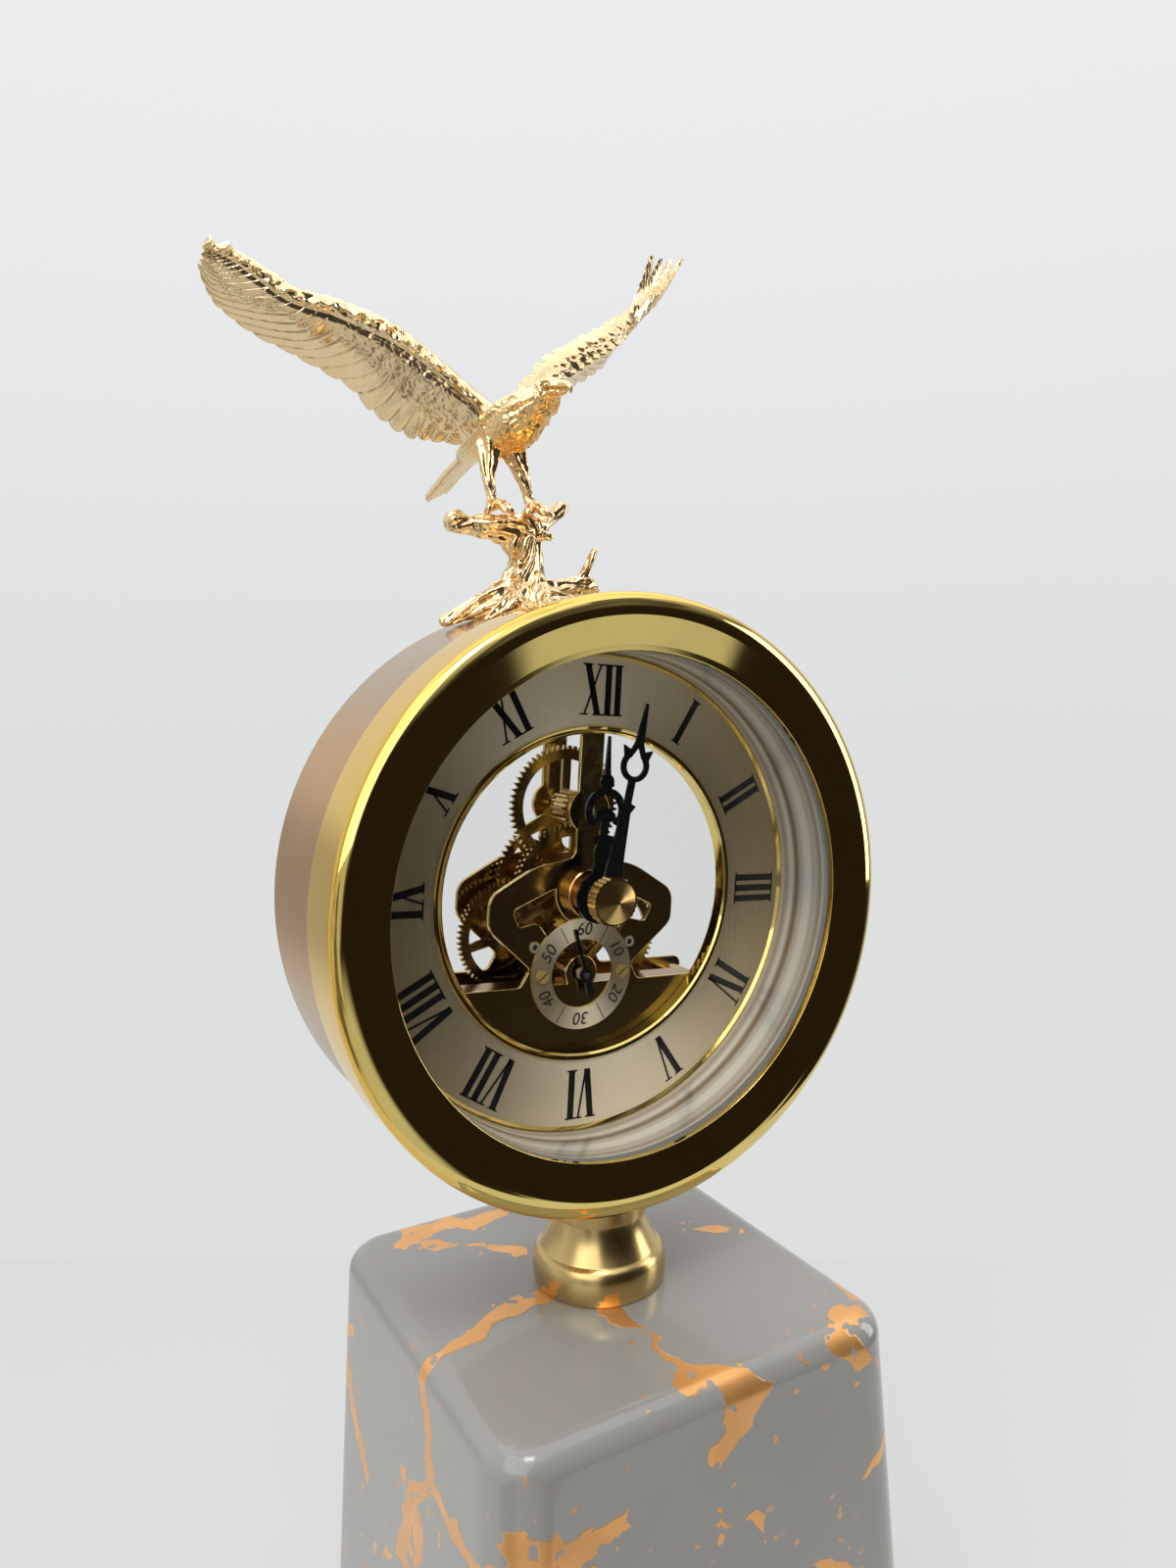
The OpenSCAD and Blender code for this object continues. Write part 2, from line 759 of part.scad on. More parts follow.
// Front bearings: low domed heads with the pivot in the middle
module pivot_bush(pivot, d, out) {
    difference() {
        union() {
            bar(bush_r - seat_gap, d, plate_t);
            bar(bush_r, out < 0 ? d + out : d + plate_t, abs(out));
        }
        bar(pivot + run_gap, d - 3 * over, plate_t + 6 * over);
    }
}

module pivot_bushes() {
    color(steel)
    in_movement() {
        translate([0, 0, motion_centre]) pivot_bush(pivot_r, front_plate_d, -bush_out);
        translate([0, 0, -seconds_drop]) pivot_bush(second_arbor_r, front_plate_d, -bush_out);
        for (s = [-1, 1]) translate([s * side_x, 0, side_z]) pivot_bush(pivot_r, front_plate_d, -bush_out);
    }
}

module back_bushes() {
    color(brass)
    in_movement() {
        translate([0, 0, motion_centre]) pivot_bush(pivot_r, back_plate_d, bush_out / 2);
        translate([0, 0, -seconds_drop]) pivot_bush(second_arbor_r, back_plate_d, bush_out / 2);
        for (s = [-1, 1]) translate([s * side_x, 0, side_z]) pivot_bush(pivot_r, back_plate_d, bush_out / 2);
        washer(rear_bush_r - seat_gap, minute_arbor_r + run_gap, back_plate_d, plate_t);
    }
}

seconds_dial_t = 0.7;
screw_slot = 0.4;

module seconds_dial() {
    color([0.80, 0.74, 0.64])
    in_movement() translate([0, 0, -seconds_drop]) difference() {
        washer(seconds_dial_d / 2, seconds_hole_d / 2, front_plate_d - seconds_dial_t, seconds_dial_t);
        for (s = [-1, 1]) translate([s * seconds_screw_x, 0, 0])
            bar(seconds_screw_r + seat_gap, front_plate_d - 2 * seconds_dial_t, 3 * seconds_dial_t);
    }
}

module seconds_dial_screws() {
    color(brass)
    in_movement() for (s = [-1, 1]) translate([s * seconds_screw_x, 0, -seconds_drop])
        difference() {
            union() {
                bar(seconds_screw_r - seat_gap, front_plate_d - seconds_dial_t, seconds_dial_t + plate_t);
                bar(2 * seconds_screw_r, front_plate_d - 2 * seconds_dial_t, seconds_dial_t);
            }
            rotate([0, 50, 0])
                translate([-screw_slot / 2, depth(front_plate_d - 2 * seconds_dial_t) - screw_slot,
                    -2 * seconds_screw_r])
                    cube([screw_slot, 2 * screw_slot, 4 * seconds_screw_r]);
        }
}

// Motor and battery

motor_r = plate_r - air_gap;

// Part of the bottom segment below a line
module motor_outline(drop) {
    intersection() {
        circle(r = motor_r);
        translate([-motor_half, -motor_r]) square([2 * motor_half, motor_r - drop]);
    }
}

module motor_case() {
    color([0.14, 0.12, 0.11])
    in_movement() difference() {
        union() {
            slab(front_plate_end, plate_gap) motor_outline(motor_drop);
            slab(front_plate_end, block_depth) motor_outline(segment_drop + air_gap);
            slab(front_plate_end, tower_depth) union() {
                translate([0, -seconds_drop]) circle(r = tower_r);
                translate([-tower_r, -motor_drop - over])
                    square([2 * tower_r, motor_drop - seconds_drop + over]);
            }
        }
        translate([0, 0, -seconds_drop])
            bar(second_arbor_r + air_gap, front_plate_end - over, tower_depth + 2 * over);
        slab(cell_d - cell_r - cell_gap, plate_gap)
            translate([-cell_len / 2 - cell_gap - contact_t, cell_z - cell_r - cell_gap])
            square([cell_len + 2 * cell_gap + 2 * contact_t, 2 * cell_r + 2 * cell_gap]);
    }
}

nib_r = 2.7;
nib_len = 1.2;

module battery() {
    color([0.2, 0.25, 0.3])
    in_movement() translate([-cell_len / 2, depth(cell_d), cell_z]) rotate([0, 90, 0]) {
        cylinder(h = cell_len - nib_len, r = cell_r);
        cylinder(h = cell_len, r = nib_r);
    }
}

module battery_contacts() {
    color(steel)
    in_movement() for (s = [-1, 1])
        translate([s * (cell_len / 2 + cell_gap / 2 + contact_t / 2), depth(cell_d), cell_z])
            rotate([0, 90, 0]) translate([0, 0, -contact_t / 2]) cylinder(h = contact_t, r = cell_r * 0.7);
}

// Train

minute_arbor_front = minute_hand_d - nut_h - nut_cone_h + air_gap;
knob_neck_d = back_plate_end + air_gap;
knob_head_d = case_depth + air_gap;
knob_h = 4;
arbor_rear = knob_head_d + knob_h / 2;

// Arbor of the minute hand, with its pinion for the motion work
module minute_arbor() {
    color(brass)
    in_movement() {
        bar(minute_thread_r, minute_arbor_front + nut_cone_h,
            front_plate_d - minute_arbor_front - nut_cone_h);
        bar(minute_arbor_r, minute_hand_d + hand_t + air_gap, arbor_rear - minute_hand_d - hand_t - air_gap);
        slab(upper_wheel_d - pinion_over / 2, wheel_t + pinion_over)
            polygon(gear_points(minute_pinion_teeth, motion_module, 0));
        washer(pipe_r, minute_arbor_r / 2, upper_wheel_d + wheel_t,
            minute_wheel_d - upper_wheel_d - wheel_t - seat_gap);
    }
}

module minute_wheel() {
    color(brass)
    in_movement() slab(minute_wheel_d, wheel_t)
        spoked(minute_teeth, minute_module, 0, minute_arbor_r + seat_gap / 2, 4, 45, 2.2, 2.4);
}

// Hand outlines point up, in shares of the hand's length: right half from bottom to top
hub_bore_gap = seat_gap / 2;

minute_bar_shares = [[0.051, 0.09], [0.0245, 0.46]];
minute_barb_shares = [[0.017, 0.428], [0.05, 0.483], [0.017, 0.493]];
minute_stem_shares = [[0.02, 0.45], [0.019, 0.62]];
minute_spear_shares = [[0.066, 0.705], [0.0865, 0.774], [0.041, 0.758], [0.0245, 0.797], [0.0056, 1]];
minute_point_shares = [[0.047, 0.694], [0.004, 0.772]];
minute_drop_share = 0.68;
minute_drop_r_share = 0.081;
minute_hole_r_share = 0.0526;
minute_hub_share = 0.117;

hour_body_shares = [[0.076, 0.115], [0.058, 0.219], [0.067, 0.291], [0.032, 0.36]];
hour_barb_shares = [[0.037, 0.314], [0.088, 0.376], [0.023, 0.388]];
hour_stem_shares = [[0.0255, 0.34], [0.0255, 0.52]];
hour_arrow_shares = [[0.0255, 0.476], [0.0855, 0.4665], [0.067, 0.522], [0.0005, 0.568]];
hour_open_shares = [[0.2, 0.3], [0.12, 0.43], [0.0005, 0.485]];
hour_neck_shares = [[0.045, 0.65], [0.02, 0.7]];
hour_spear_shares = [[0.025, 0.745], [0.0196, 0.785], [0.0069, 1]];
hour_arch_share = 0.538;
hour_arch_r_share = 0.143;
hour_arch_hole_r_share = 0.097;
hour_bead_share = 0.718;
hour_bead_r_share = 0.0485;
hour_hub_share = 0.166;

second_hub_share = 0.14;
second_bar_shares = [[0.074, -0.42], [0.037, 0.148], [0.033, 1]];

// A shape from its right half and a length
module half_shape(shares, full) {
    n = len(shares);
    polygon(full * concat(shares, [for (i = [n - 1:-1:0]) [-shares[i][0], shares[i][1]]]));
}

// A disc at a share of the length, with its radius as a share
module disc(at_share, r_share, full) {
    translate([0, at_share * full]) circle(r = r_share * full);
}

// Minute hand: bar, barbs, stem, open drop with two horns, spear
module minute_hand() {
    color(ink)
    in_movement() rotate([0, minute_at, 0]) slab(minute_hand_d, hand_t) difference() {
        union() {
            disc(0, minute_hub_share, minute_len);
            half_shape(minute_bar_shares, minute_len);
            half_shape(minute_barb_shares, minute_len);
            half_shape(minute_stem_shares, minute_len);
            disc(minute_drop_share, minute_drop_r_share, minute_len);
            half_shape(minute_spear_shares, minute_len);
        }
        circle(r = minute_thread_r + hub_bore_gap);
        disc(minute_drop_share, minute_hole_r_share, minute_len);
        half_shape(minute_point_shares, minute_len);
    }
}

// Hour hand: ring hub, body, barbs, open arch with an arrow in it, bead, spear
module hour_hand() {
    color(ink)
    in_movement() rotate([0, hour_at, 0]) slab(hour_hand_d, hand_t) difference() {
        union() {
            disc(0, hour_hub_share, hour_len);
            half_shape(hour_body_shares, hour_len);
            half_shape(hour_barb_shares, hour_len);
            half_shape(hour_stem_shares, hour_len);
            half_shape(hour_arrow_shares, hour_len);
            difference() {
                disc(hour_arch_share, hour_arch_r_share, hour_len);
                disc(hour_arch_share, hour_arch_hole_r_share, hour_len);
                half_shape(hour_open_shares, hour_len);
            }
            half_shape(hour_neck_shares, hour_len);
            disc(hour_bead_share, hour_bead_r_share, hour_len);
            half_shape(hour_spear_shares, hour_len);
        }
        circle(r = pipe_r + hub_bore_gap);
    }
}

module second_hand() {
    color(ink)
    in_movement() translate([0, 0, -seconds_drop]) rotate([0, second_at, 0]) slab(second_hand_d, hand_t)
        difference() {
        union() {
            disc(0, second_hub_share, second_len);
            half_shape(second_bar_shares, second_len);
        }
        circle(r = second_arbor_r + hub_bore_gap);
    }
}

knurl_count = 30;
knurl_cut = 0.35;

// Outline of a knurled wheel
function knurl_points(r) = [for (i = [0:2 * knurl_count - 1]) let (a = 180 * i / knurl_count)
    (r - (i % 2) * knurl_cut) * [cos(a), sin(a)]];

module hand_nut() {
    color(brass)
    in_movement() difference() {
        union() {
            slab(minute_hand_d - nut_h, nut_h - seat_gap) polygon(knurl_points(nut_r));
            translate([0, depth(minute_hand_d - nut_h - nut_cone_h), 0]) rotate([-90, 0, 0])
                cylinder(h = nut_cone_h, r1 = knurl_cut, r2 = nut_r - 2 * knurl_cut);
        }
        bar(minute_thread_r + hub_bore_gap, minute_arbor_front + nut_cone_h - air_gap, nut_h + over);
    }
}

module setting_knob() {
    color([0.1, 0.1, 0.1])
    in_movement() difference() {
        union() {
            bar(knob_neck_r, knob_neck_d, knob_head_d - knob_neck_d);
            slab(knob_head_d, knob_h) polygon(knurl_points(knob_r));
        }
        bar(minute_arbor_r + hub_bore_gap, knob_neck_d - over, arbor_rear - knob_neck_d + over + seat_gap);
    }
}

// Hour wheel with the long pipe that carries the hour hand
module hour_wheel() {
    color(brass)
    in_movement() union() {
        slab(hour_wheel_d, wheel_t)
            spoked(hour_teeth, motion_module, hour_phase, minute_arbor_r + run_gap, 3, 90, 2.6, 2.6);
        washer(pipe_r, minute_arbor_r + run_gap, hour_hand_d, hour_wheel_d - hour_hand_d + wheel_t / 2);
    }
}

// Plain arbor from plate to plate with thinner pivots in its two bushes
module arbor(shoulder) {
    bar(arbor_r, front_plate_end + air_gap, plate_gap - 2 * air_gap);
    bar(pivot_r, front_plate_d - bush_out / 2, plate_gap + 2 * plate_t + bush_out / 2);
    bar(hub_r, shoulder, wheel_t);
}

module upper_arbor() {
    color(brass)
    in_movement() translate([0, 0, motion_centre]) {
        arbor(upper_wheel_d - wheel_t - seat_gap);
        slab(hour_wheel_d - pinion_over, upper_wheel_d - hour_wheel_d + pinion_over - seat_gap)
            polygon(gear_points(upper_pinion_teeth, motion_module, 0));
    }
}

module upper_wheel() {
    color(brass)
    in_movement() translate([0, 0, motion_centre]) slab(upper_wheel_d, wheel_t)
        spoked(upper_teeth, motion_module, upper_phase, arbor_r + seat_gap / 2, 3, 90, 2.8, 2.6);
}

module left_arbor() {
    color(brass)
    in_movement() translate([-side_x, 0, side_z]) {
        arbor(left_wheel_d - wheel_t - seat_gap);
        slab(minute_wheel_d - pinion_over, wheel_t + 2 * pinion_over)
            polygon(gear_points(side_pinion_teeth, minute_module, left_phase));
    }
}

module left_wheel() {
    color(brass)
    in_movement() translate([-side_x, 0, side_z]) slab(left_wheel_d, wheel_t)
        spoked(side_teeth, second_module, 0, arbor_r + seat_gap / 2, 3, 75, 2.4, 2.4);
}

module right_arbor() {
    color(brass)
    in_movement() translate([side_x, 0, side_z]) arbor(right_wheel_d - wheel_t - seat_gap);
}

module right_wheel() {
    color(brass)
    in_movement() translate([side_x, 0, side_z]) slab(right_wheel_d, wheel_t)
        spoked(side_teeth, second_module, right_phase, arbor_r + seat_gap / 2, 3, 105, 2.4, 2.4);
}

module second_arbor() {
    color(steel)
    in_movement() translate([0, 0, -seconds_drop]) {
        bar(second_arbor_r, second_hand_d - air_gap, back_plate_end - second_hand_d + air_gap);
        slab(right_wheel_d - pinion_over, left_wheel_d - right_wheel_d + wheel_t + 2 * pinion_over)
            polygon(gear_points(second_pinion_teeth, second_module, second_phase));
    }
}

// Sculpture

// A tapering limb through points, with a radius at each
module limb(points, radii, grow = 0) {
    for (i = [0:len(points) - 2]) hull() {
        translate(points[i]) sphere(r = radii[i] + grow, $fn = limb_facet_count);
        translate(points[i + 1]) sphere(r = radii[i + 1] + grow, $fn = limb_facet_count);
    }
}

limb_facet_count = 12;

// Stump limbs in shares of the stump's height, from its seat on the drum: points, then radii
limb_shares = [
    [[[0.04, 0, 0.08], [0.1, 0, 0.5], [0.08, 0, 0.78]], [0.34, 0.21, 0.22]],
    [[[0.0, 0, 0.12], [-0.45, 0.1, 0.09], [-0.84, 0.2, 0.0]], [0.24, 0.13, 0.07]],
    [[[0.1, 0, 0.15], [0.5, 0.0, 0.14], [0.84, -0.04, 0.13]], [0.24, 0.11, 0.07]],
    [[[0.0, -0.1, 0.12], [-0.3, -0.25, 0.03], [-0.56, -0.34, -0.04]], [0.22, 0.12, 0.06]],
    [[[0.05, -0.1, 0.12], [0.06, -0.35, 0.03], [0.04, -0.5, -0.02]], [0.22, 0.12, 0.06]],
    [[[0.0, 0.1, 0.12], [0.1, 0.3, 0.04], [0.3, 0.42, 0.0]], [0.22, 0.12, 0.06]],
    [[[0.05, 0, 0.84], [-0.4, 0.03, 0.92], [-0.58, 0.04, 0.98]], [0.15, 0.1, 0.125]],
    [[[-0.46, 0.02, 0.94], [-0.24, -0.1, 0.9], [0.21, -0.1, 0.84]], [0.11, 0.13, 0.13]],
    [[[0.2, 0, 0.84], [0.42, 0.04, 0.9], [0.68, 0.1, 1.0]], [0.15, 0.08, 0.085]],
    [[[0.6, 0, 0.16], [0.76, -0.04, 0.26], [0.92, -0.12, 0.5]], [0.09, 0.06, 0.04]]];

screw_in = 9;
stump_shank_in = 4;

module tree_stump() {
    color(eagle_gold)
    difference() {
        at_stump() for (l = limb_shares) limb(l[0] * stump_h, l[1] * stump_h);
        at_axis() bar(drum_r + seat_gap, 0, case_depth + over);
        at_stump() translate([0, 0, -over])
            cylinder(h = screw_in + over + air_gap, r = stump_screw_r + seat_gap);
        at_bird() legs(seat_gap);
    }
}

module stump_screw() {
    color(steel)
    at_stump() {
        translate([0, 0, -drum_wall - stump_shank_in])
            cylinder(h = drum_wall + stump_shank_in + screw_in, r = stump_screw_r);
        translate([0, 0, -drum_wall - stump_shank_in - screw_head_h])
            cylinder(h = screw_head_h, r = screw_head_r);
    }
}

// Moves to the bird's perch on the stump, upright
module at_bird() {
    at_axis() rotate([0, stump_turn, 0]) translate([0, stump_back, drum_r + stump_h])
        rotate([0, -stump_turn, 0]) children();
}

// Bird limbs in shares of its height: torso from tail to beak, legs, toes and tail
torso_shares = [[-0.19, 0.32, 0.6], [-0.08, 0.1, 0.7], [0.02, -0.12, 0.78], [0.08, -0.3, 0.87],
    [0.15, -0.47, 0.97], [0.19, -0.6, 0.965], [0.22, -0.71, 0.93]];
torso_r_shares = [0.11, 0.2, 0.22, 0.155, 0.1, 0.07, 0.03];
leg_shares = [
    [[[-0.16, 0.03, 0.56], [-0.21, -0.03, 0.28], [-0.19, -0.1, 0.04]], [0.1, 0.05, 0.045]],
    [[[0.0, 0.0, 0.56], [0.12, -0.06, 0.28], [0.17, -0.1, 0.03]], [0.1, 0.05, 0.045]]];
toe_reach_shares = [[-0.1, -0.13, -0.01], [0.01, -0.17, -0.02], [0.1, -0.12, -0.03], [0.0, 0.12, -0.02]];
toe_r_shares = [0.035, 0.025];
tail_shares = [[-0.24, 0.36, 0.55], [-0.1, 0.36, 0.55], [-0.06, 1.0, 0.36], [-0.35, 1.14, 0.27]];
tail_r_share = 0.035;

// Thighs, shanks and toes, with an extra thickness for the seats cut into the stump
module legs(grow = 0) {
    for (l = leg_shares) {
        limb(l[0] * bird_h, l[1] * bird_h, grow);
        for (t = toe_reach_shares) limb([l[0][2], l[0][2] + t] * bird_h, toe_r_shares * bird_h, grow);
    }
}

module torso(grow = 0) {
    limb(torso_shares * bird_h, torso_r_shares * bird_h, grow);
}

module eagle_body() {
    color(eagle_gold)
    at_bird() {
        torso();
        legs();
        hull() for (p = tail_shares) translate(p * bird_h)
            sphere(r = tail_r_share * bird_h, $fn = limb_facet_count);
    }
}

// Leading and trailing edges of the wings in shares of the span, from the perch
right_lead_shares = [[-0.02, 0.0, 0.18], [-0.1, 0.02, 0.262], [-0.2, 0.045, 0.325], [-0.306, 0.06, 0.356],
    [-0.415, 0.08, 0.403], [-0.495, 0.087, 0.414]];
right_trail_shares = [[-0.02, 0.05, 0.125], [-0.11, 0.087, 0.162], [-0.203, 0.127, 0.232], [-0.3, 0.14,
    0.282],
    [-0.405, 0.137, 0.318], [-0.497, 0.11, 0.388]];
left_lead_shares = [[0.01, -0.01, 0.17], [0.1, 0.02, 0.265], [0.211, 0.073, 0.35], [0.32, 0.1, 0.415],
    [0.42, 0.13, 0.495], [0.49, 0.153, 0.574]];
left_trail_shares = [[0.0, 0.04, 0.13], [0.115, 0.1, 0.23], [0.225, 0.137, 0.318], [0.315, 0.158, 0.41],
    [0.375, 0.155, 0.485], [0.42, 0.155, 0.575]];

span_steps = 40;
chord_steps = 8;
feather_count = 13;
wing_t_share = 0.024;
edge_t_share = 0.005;
scallop_share = 0.022;

// A point at t from 0 to 1 along a row of points, smoothed between them
function along(row, t) = let (s = t * (len(row) - 1), i = min(floor(s), len(row) - 2), f = s - i,
        a = row[max(i - 1, 0)], b = row[i], c = row[i + 1], d = row[min(i + 2, len(row) - 1)])
    b + 0.5 * f * ((c - a) + f * ((2 * a - 5 * b + 4 * c - d) + f * (3 * (b - c) + d - a)));

// A point of the wing: t along the span, v from leading to trailing edge, side 0 under and 1 over
function wing_point(lead, trail, t, v, side) =
    let (a = along(lead, t), b = along(trail, t), chord = unit(b - a),
         tip = along(lead, min(t + 0.02, 1)) - along(lead, max(t - 0.02, 0)),
         up = unit(cross(tip, chord)) * (lead[5][0] < 0 ? 1 : -1),
         scallop = scallop_share * abs(sin(180 * feather_count * t)) * v,
         bulge = sin(180 * pow(v, 0.4)) * wing_t_share * (1.4 - t) + edge_t_share)
    (a + (b - a) * v + chord * scallop + up * (side * bulge + 0.5 * wing_t_share * sin(180 * v))) * span;

module wing(lead, trail) {
    n = span_steps;
    m = chord_steps;
    points = [for (side = [0, 1], i = [0:n], k = [0:m]) wing_point(lead, trail, i / n, k / m, side)];
    under = [for (i = [0:n - 1], k = [0:m - 1]) let (p = i * (m + 1) + k) [p, p + 1, p + m + 2, p + m + 1]];
    shift = (n + 1) * (m + 1);
    over_faces = [for (f = under) [f[3], f[2], f[1], f[0]] + [shift, shift, shift, shift]];
    ends = [for (i = [0, n], k = [0:m - 1]) let (p = i * (m + 1) + k)
        i == 0 ? [p + 1, p, p + shift, p + 1 + shift] : [p, p + 1, p + 1 + shift, p + shift]];
    rims = [for (k = [0, m], i = [0:n - 1]) let (p = i * (m + 1) + k, q = p + m + 1)
        k == 0 ? [p, q, q + shift, p + shift] : [q, p, p + shift, q + shift]];
    flip = lead[5][0] < 0;
    faces = [for (f = concat(under, over_faces, ends, rims))
        for (tri = [[f[0], f[1], f[2]], [f[0], f[2], f[3]]])
        flip ? tri : [tri[2], tri[1], tri[0]]];
    polyhedron(points = points, faces = faces);
}

module eagle_right_wing() {
    color(eagle_gold)
    at_bird() difference() {
        wing(right_lead_shares, right_trail_shares);
        torso(seat_gap);
    }
}

module eagle_left_wing() {
    color(eagle_gold)
    at_bird() difference() {
        wing(left_lead_shares, left_trail_shares);
        torso(seat_gap);
    }
}

ceramic_base();
bottom_board();
base_felt();
neck_collar();
neck_stud();
base_washer();
base_nut();
case_drum();
bezel();
front_glass();
inner_ring();
carrier_ring();
rear_ring();
rear_glass();
chapter_ring();
dial_outer_trim();
dial_inner_trim();
dial_feet();
front_plate();
back_plate();
plate_pillars();
pillar_screws();
hour_bush();
pivot_bushes();
back_bushes();
seconds_dial();
seconds_dial_screws();
motor_case();
battery();
battery_contacts();
minute_arbor();
minute_wheel();
minute_hand();
hand_nut();
setting_knob();
hour_wheel();
hour_hand();
upper_arbor();
upper_wheel();
left_arbor();
left_wheel();
right_arbor();
right_wheel();
second_arbor();
second_hand();
eagle_body();
eagle_right_wing();
eagle_left_wing();
tree_stump();
stump_screw();
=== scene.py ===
# Looks of the table clock with an eagle sculpture: run as a script, laid out as an add-on
import json
import math

import bmesh
import bpy
import numpy as np
from bpy.props import FloatProperty, FloatVectorProperty, IntProperty, PointerProperty
from mathutils import Matrix, Vector


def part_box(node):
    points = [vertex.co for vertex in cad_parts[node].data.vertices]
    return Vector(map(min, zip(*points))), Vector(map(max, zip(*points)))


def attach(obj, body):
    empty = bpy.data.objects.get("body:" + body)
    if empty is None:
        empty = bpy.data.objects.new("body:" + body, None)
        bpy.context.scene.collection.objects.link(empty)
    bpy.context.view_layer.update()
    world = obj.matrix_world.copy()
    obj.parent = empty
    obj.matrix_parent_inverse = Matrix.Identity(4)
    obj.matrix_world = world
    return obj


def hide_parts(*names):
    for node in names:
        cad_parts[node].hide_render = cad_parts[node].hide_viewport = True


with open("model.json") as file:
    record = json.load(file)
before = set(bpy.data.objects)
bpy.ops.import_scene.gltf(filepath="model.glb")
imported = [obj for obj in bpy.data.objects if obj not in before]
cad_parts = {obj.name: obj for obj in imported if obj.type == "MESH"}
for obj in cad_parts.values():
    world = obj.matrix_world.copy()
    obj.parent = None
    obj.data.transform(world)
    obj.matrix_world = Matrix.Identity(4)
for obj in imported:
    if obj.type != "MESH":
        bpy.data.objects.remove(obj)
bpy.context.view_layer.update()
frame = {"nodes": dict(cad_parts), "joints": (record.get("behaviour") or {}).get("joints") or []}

bl_info = {
    "name": "Eagle Clock Finish",
    "version": (1, 0, 0),
    "blender": (4, 5, 0),
    "location": "View3D > Sidebar > Clock",
    "description": "Dresses the packed table clock with glaze, gilding, numerals and a carved eagle",
    "category": "Object",
}


def half_width(node):
    """Half of a CAD node's width."""
    low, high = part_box(node)
    return (high.x - low.x) / 2


JOINTS = {j["name"]: np.array(j["pos_m"]) for j in frame["joints"]}
AXIS = JOINTS["minute_hinge"]
SECONDS_AXIS = JOINTS["seconds_hinge"]
BEZEL_RADIUS = half_width("bezel")
DRUM_RADIUS = half_width("case_drum")
DRUM_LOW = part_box("case_drum")[0].z

# Turns about the clock's axis: of the dial in the case, of its sheen and of the stump on the drum
DIAL_TURN = math.radians(4.5)
SHEEN_TURN = math.radians(-8)
STUMP_TURN = math.radians(-8)
HOUR = math.radians(30)
SECOND = math.radians(6)

# How far behind the dial's hinge the stump stands
STUMP_BACK = 0.0146

# A full turn as the carved patterns take it, and the edge that turned parts are broken by
WAVE = 6.28
BROKEN_EDGE = 0.0002


# Sizes and colours that a user would change

def srgb(red, green, blue):
    """Linear colour of a screen colour given in 0 to 255."""
    c = np.array((red, green, blue)) / 255
    return tuple(np.where(c <= 0.04045, c / 12.92, ((c + 0.055) / 1.055) ** 2.4))


def colour(name, description, value):
    return FloatVectorProperty(name=name, description=description, subtype="COLOR", size=3, min=0, max=1,
                               default=value)


def length(name, description, value):
    return FloatProperty(name=name, description=description, unit="LENGTH", default=value)


class ClockShape(bpy.types.PropertyGroup):
    sight: length("Sight radius", "Radius of the opening in front of the glass", 0.0655)
    rim_width: length("Rim width", "Width of the bezel's rounded rim seen from the front", 0.0058)
    rim_depth: length("Rim depth", "Depth of the bezel's rounded rim", 0.0033)
    face_fall: length("Face fall", "How far the bezel's face falls towards the glass", 0.0027)
    lip: length("Lip", "Width of the bezel's inner lip", 0.0016)
    bore: length("Bore radius", "Radius of the case's bore", 0.07645)
    plate_round: length("Plate edge", "Rounding of the movement plates' edges", 0.0003)
    drum_wall: length("Drum wall", "Thickness of the drum", 0.002)
    plinth_top: length("Plinth top", "Width of the plinth at its top", 0.1155)
    plinth_foot: length("Plinth foot", "Width of the plinth at its foot", 0.13)
    plinth_corner: length("Plinth corner", "Radius of the plinth's upright edges", 0.013)
    plinth_roll: length("Plinth roll", "Radius of the plinth's upper edge", 0.0066)
    plinth_wall: length("Plinth wall", "Thickness of the glazed shell", 0.006)
    foot_radius: length("Collar foot", "Radius of the collar's barrel foot", 0.0186)
    foot_height: length("Collar foot height", "Height of the collar's barrel foot", 0.0103)
    neck_radius: length("Collar neck", "Radius of the collar's neck", 0.0137)
    neck_start: length("Neck start", "Height where the collar's straight neck starts", 0.020)


class ClockDial(bpy.types.PropertyGroup):
    numeral_foot: length("Numeral foot", "Radius where the hour numerals start", 0.0486)
    numeral_height: length("Numeral height", "Height of the hour numerals", 0.0138)
    stem: length("Stem", "Width of a numeral's thick strokes", 0.0019)
    hairline: length("Hairline", "Width of a numeral's thin strokes", 0.00062)
    print_height: length("Print height", "How far the print stands off the dial", 0.00006)
    screw_head: length("Screw head", "Radius of the seconds dial's screw heads", 0.0018)
    screw_slot: length("Screw slot", "Width of the slots in those screws", 0.00046)
    digit_size: length("Digit size", "Type size of the seconds figures", 0.0049)
    mark_width: length("Mark width", "Width of the seconds dial's dividing lines", 0.00022)


class ClockSculpture(bpy.types.PropertyGroup):
    bird_height: length("Bird height", "Height from the perch to the bird's crown", 0.031)
    span: length("Wing span", "Reach from wing tip to wing tip", 0.15)
    stump_height: length("Stump height", "Height of the stump above the drum", 0.025)
    feathers: IntProperty(name="Feathers", description="Long feathers on one wing", default=23, min=6, max=30)
    voxel: length("Skin step", "Step of the skin laid over the limbs", 0.0003)


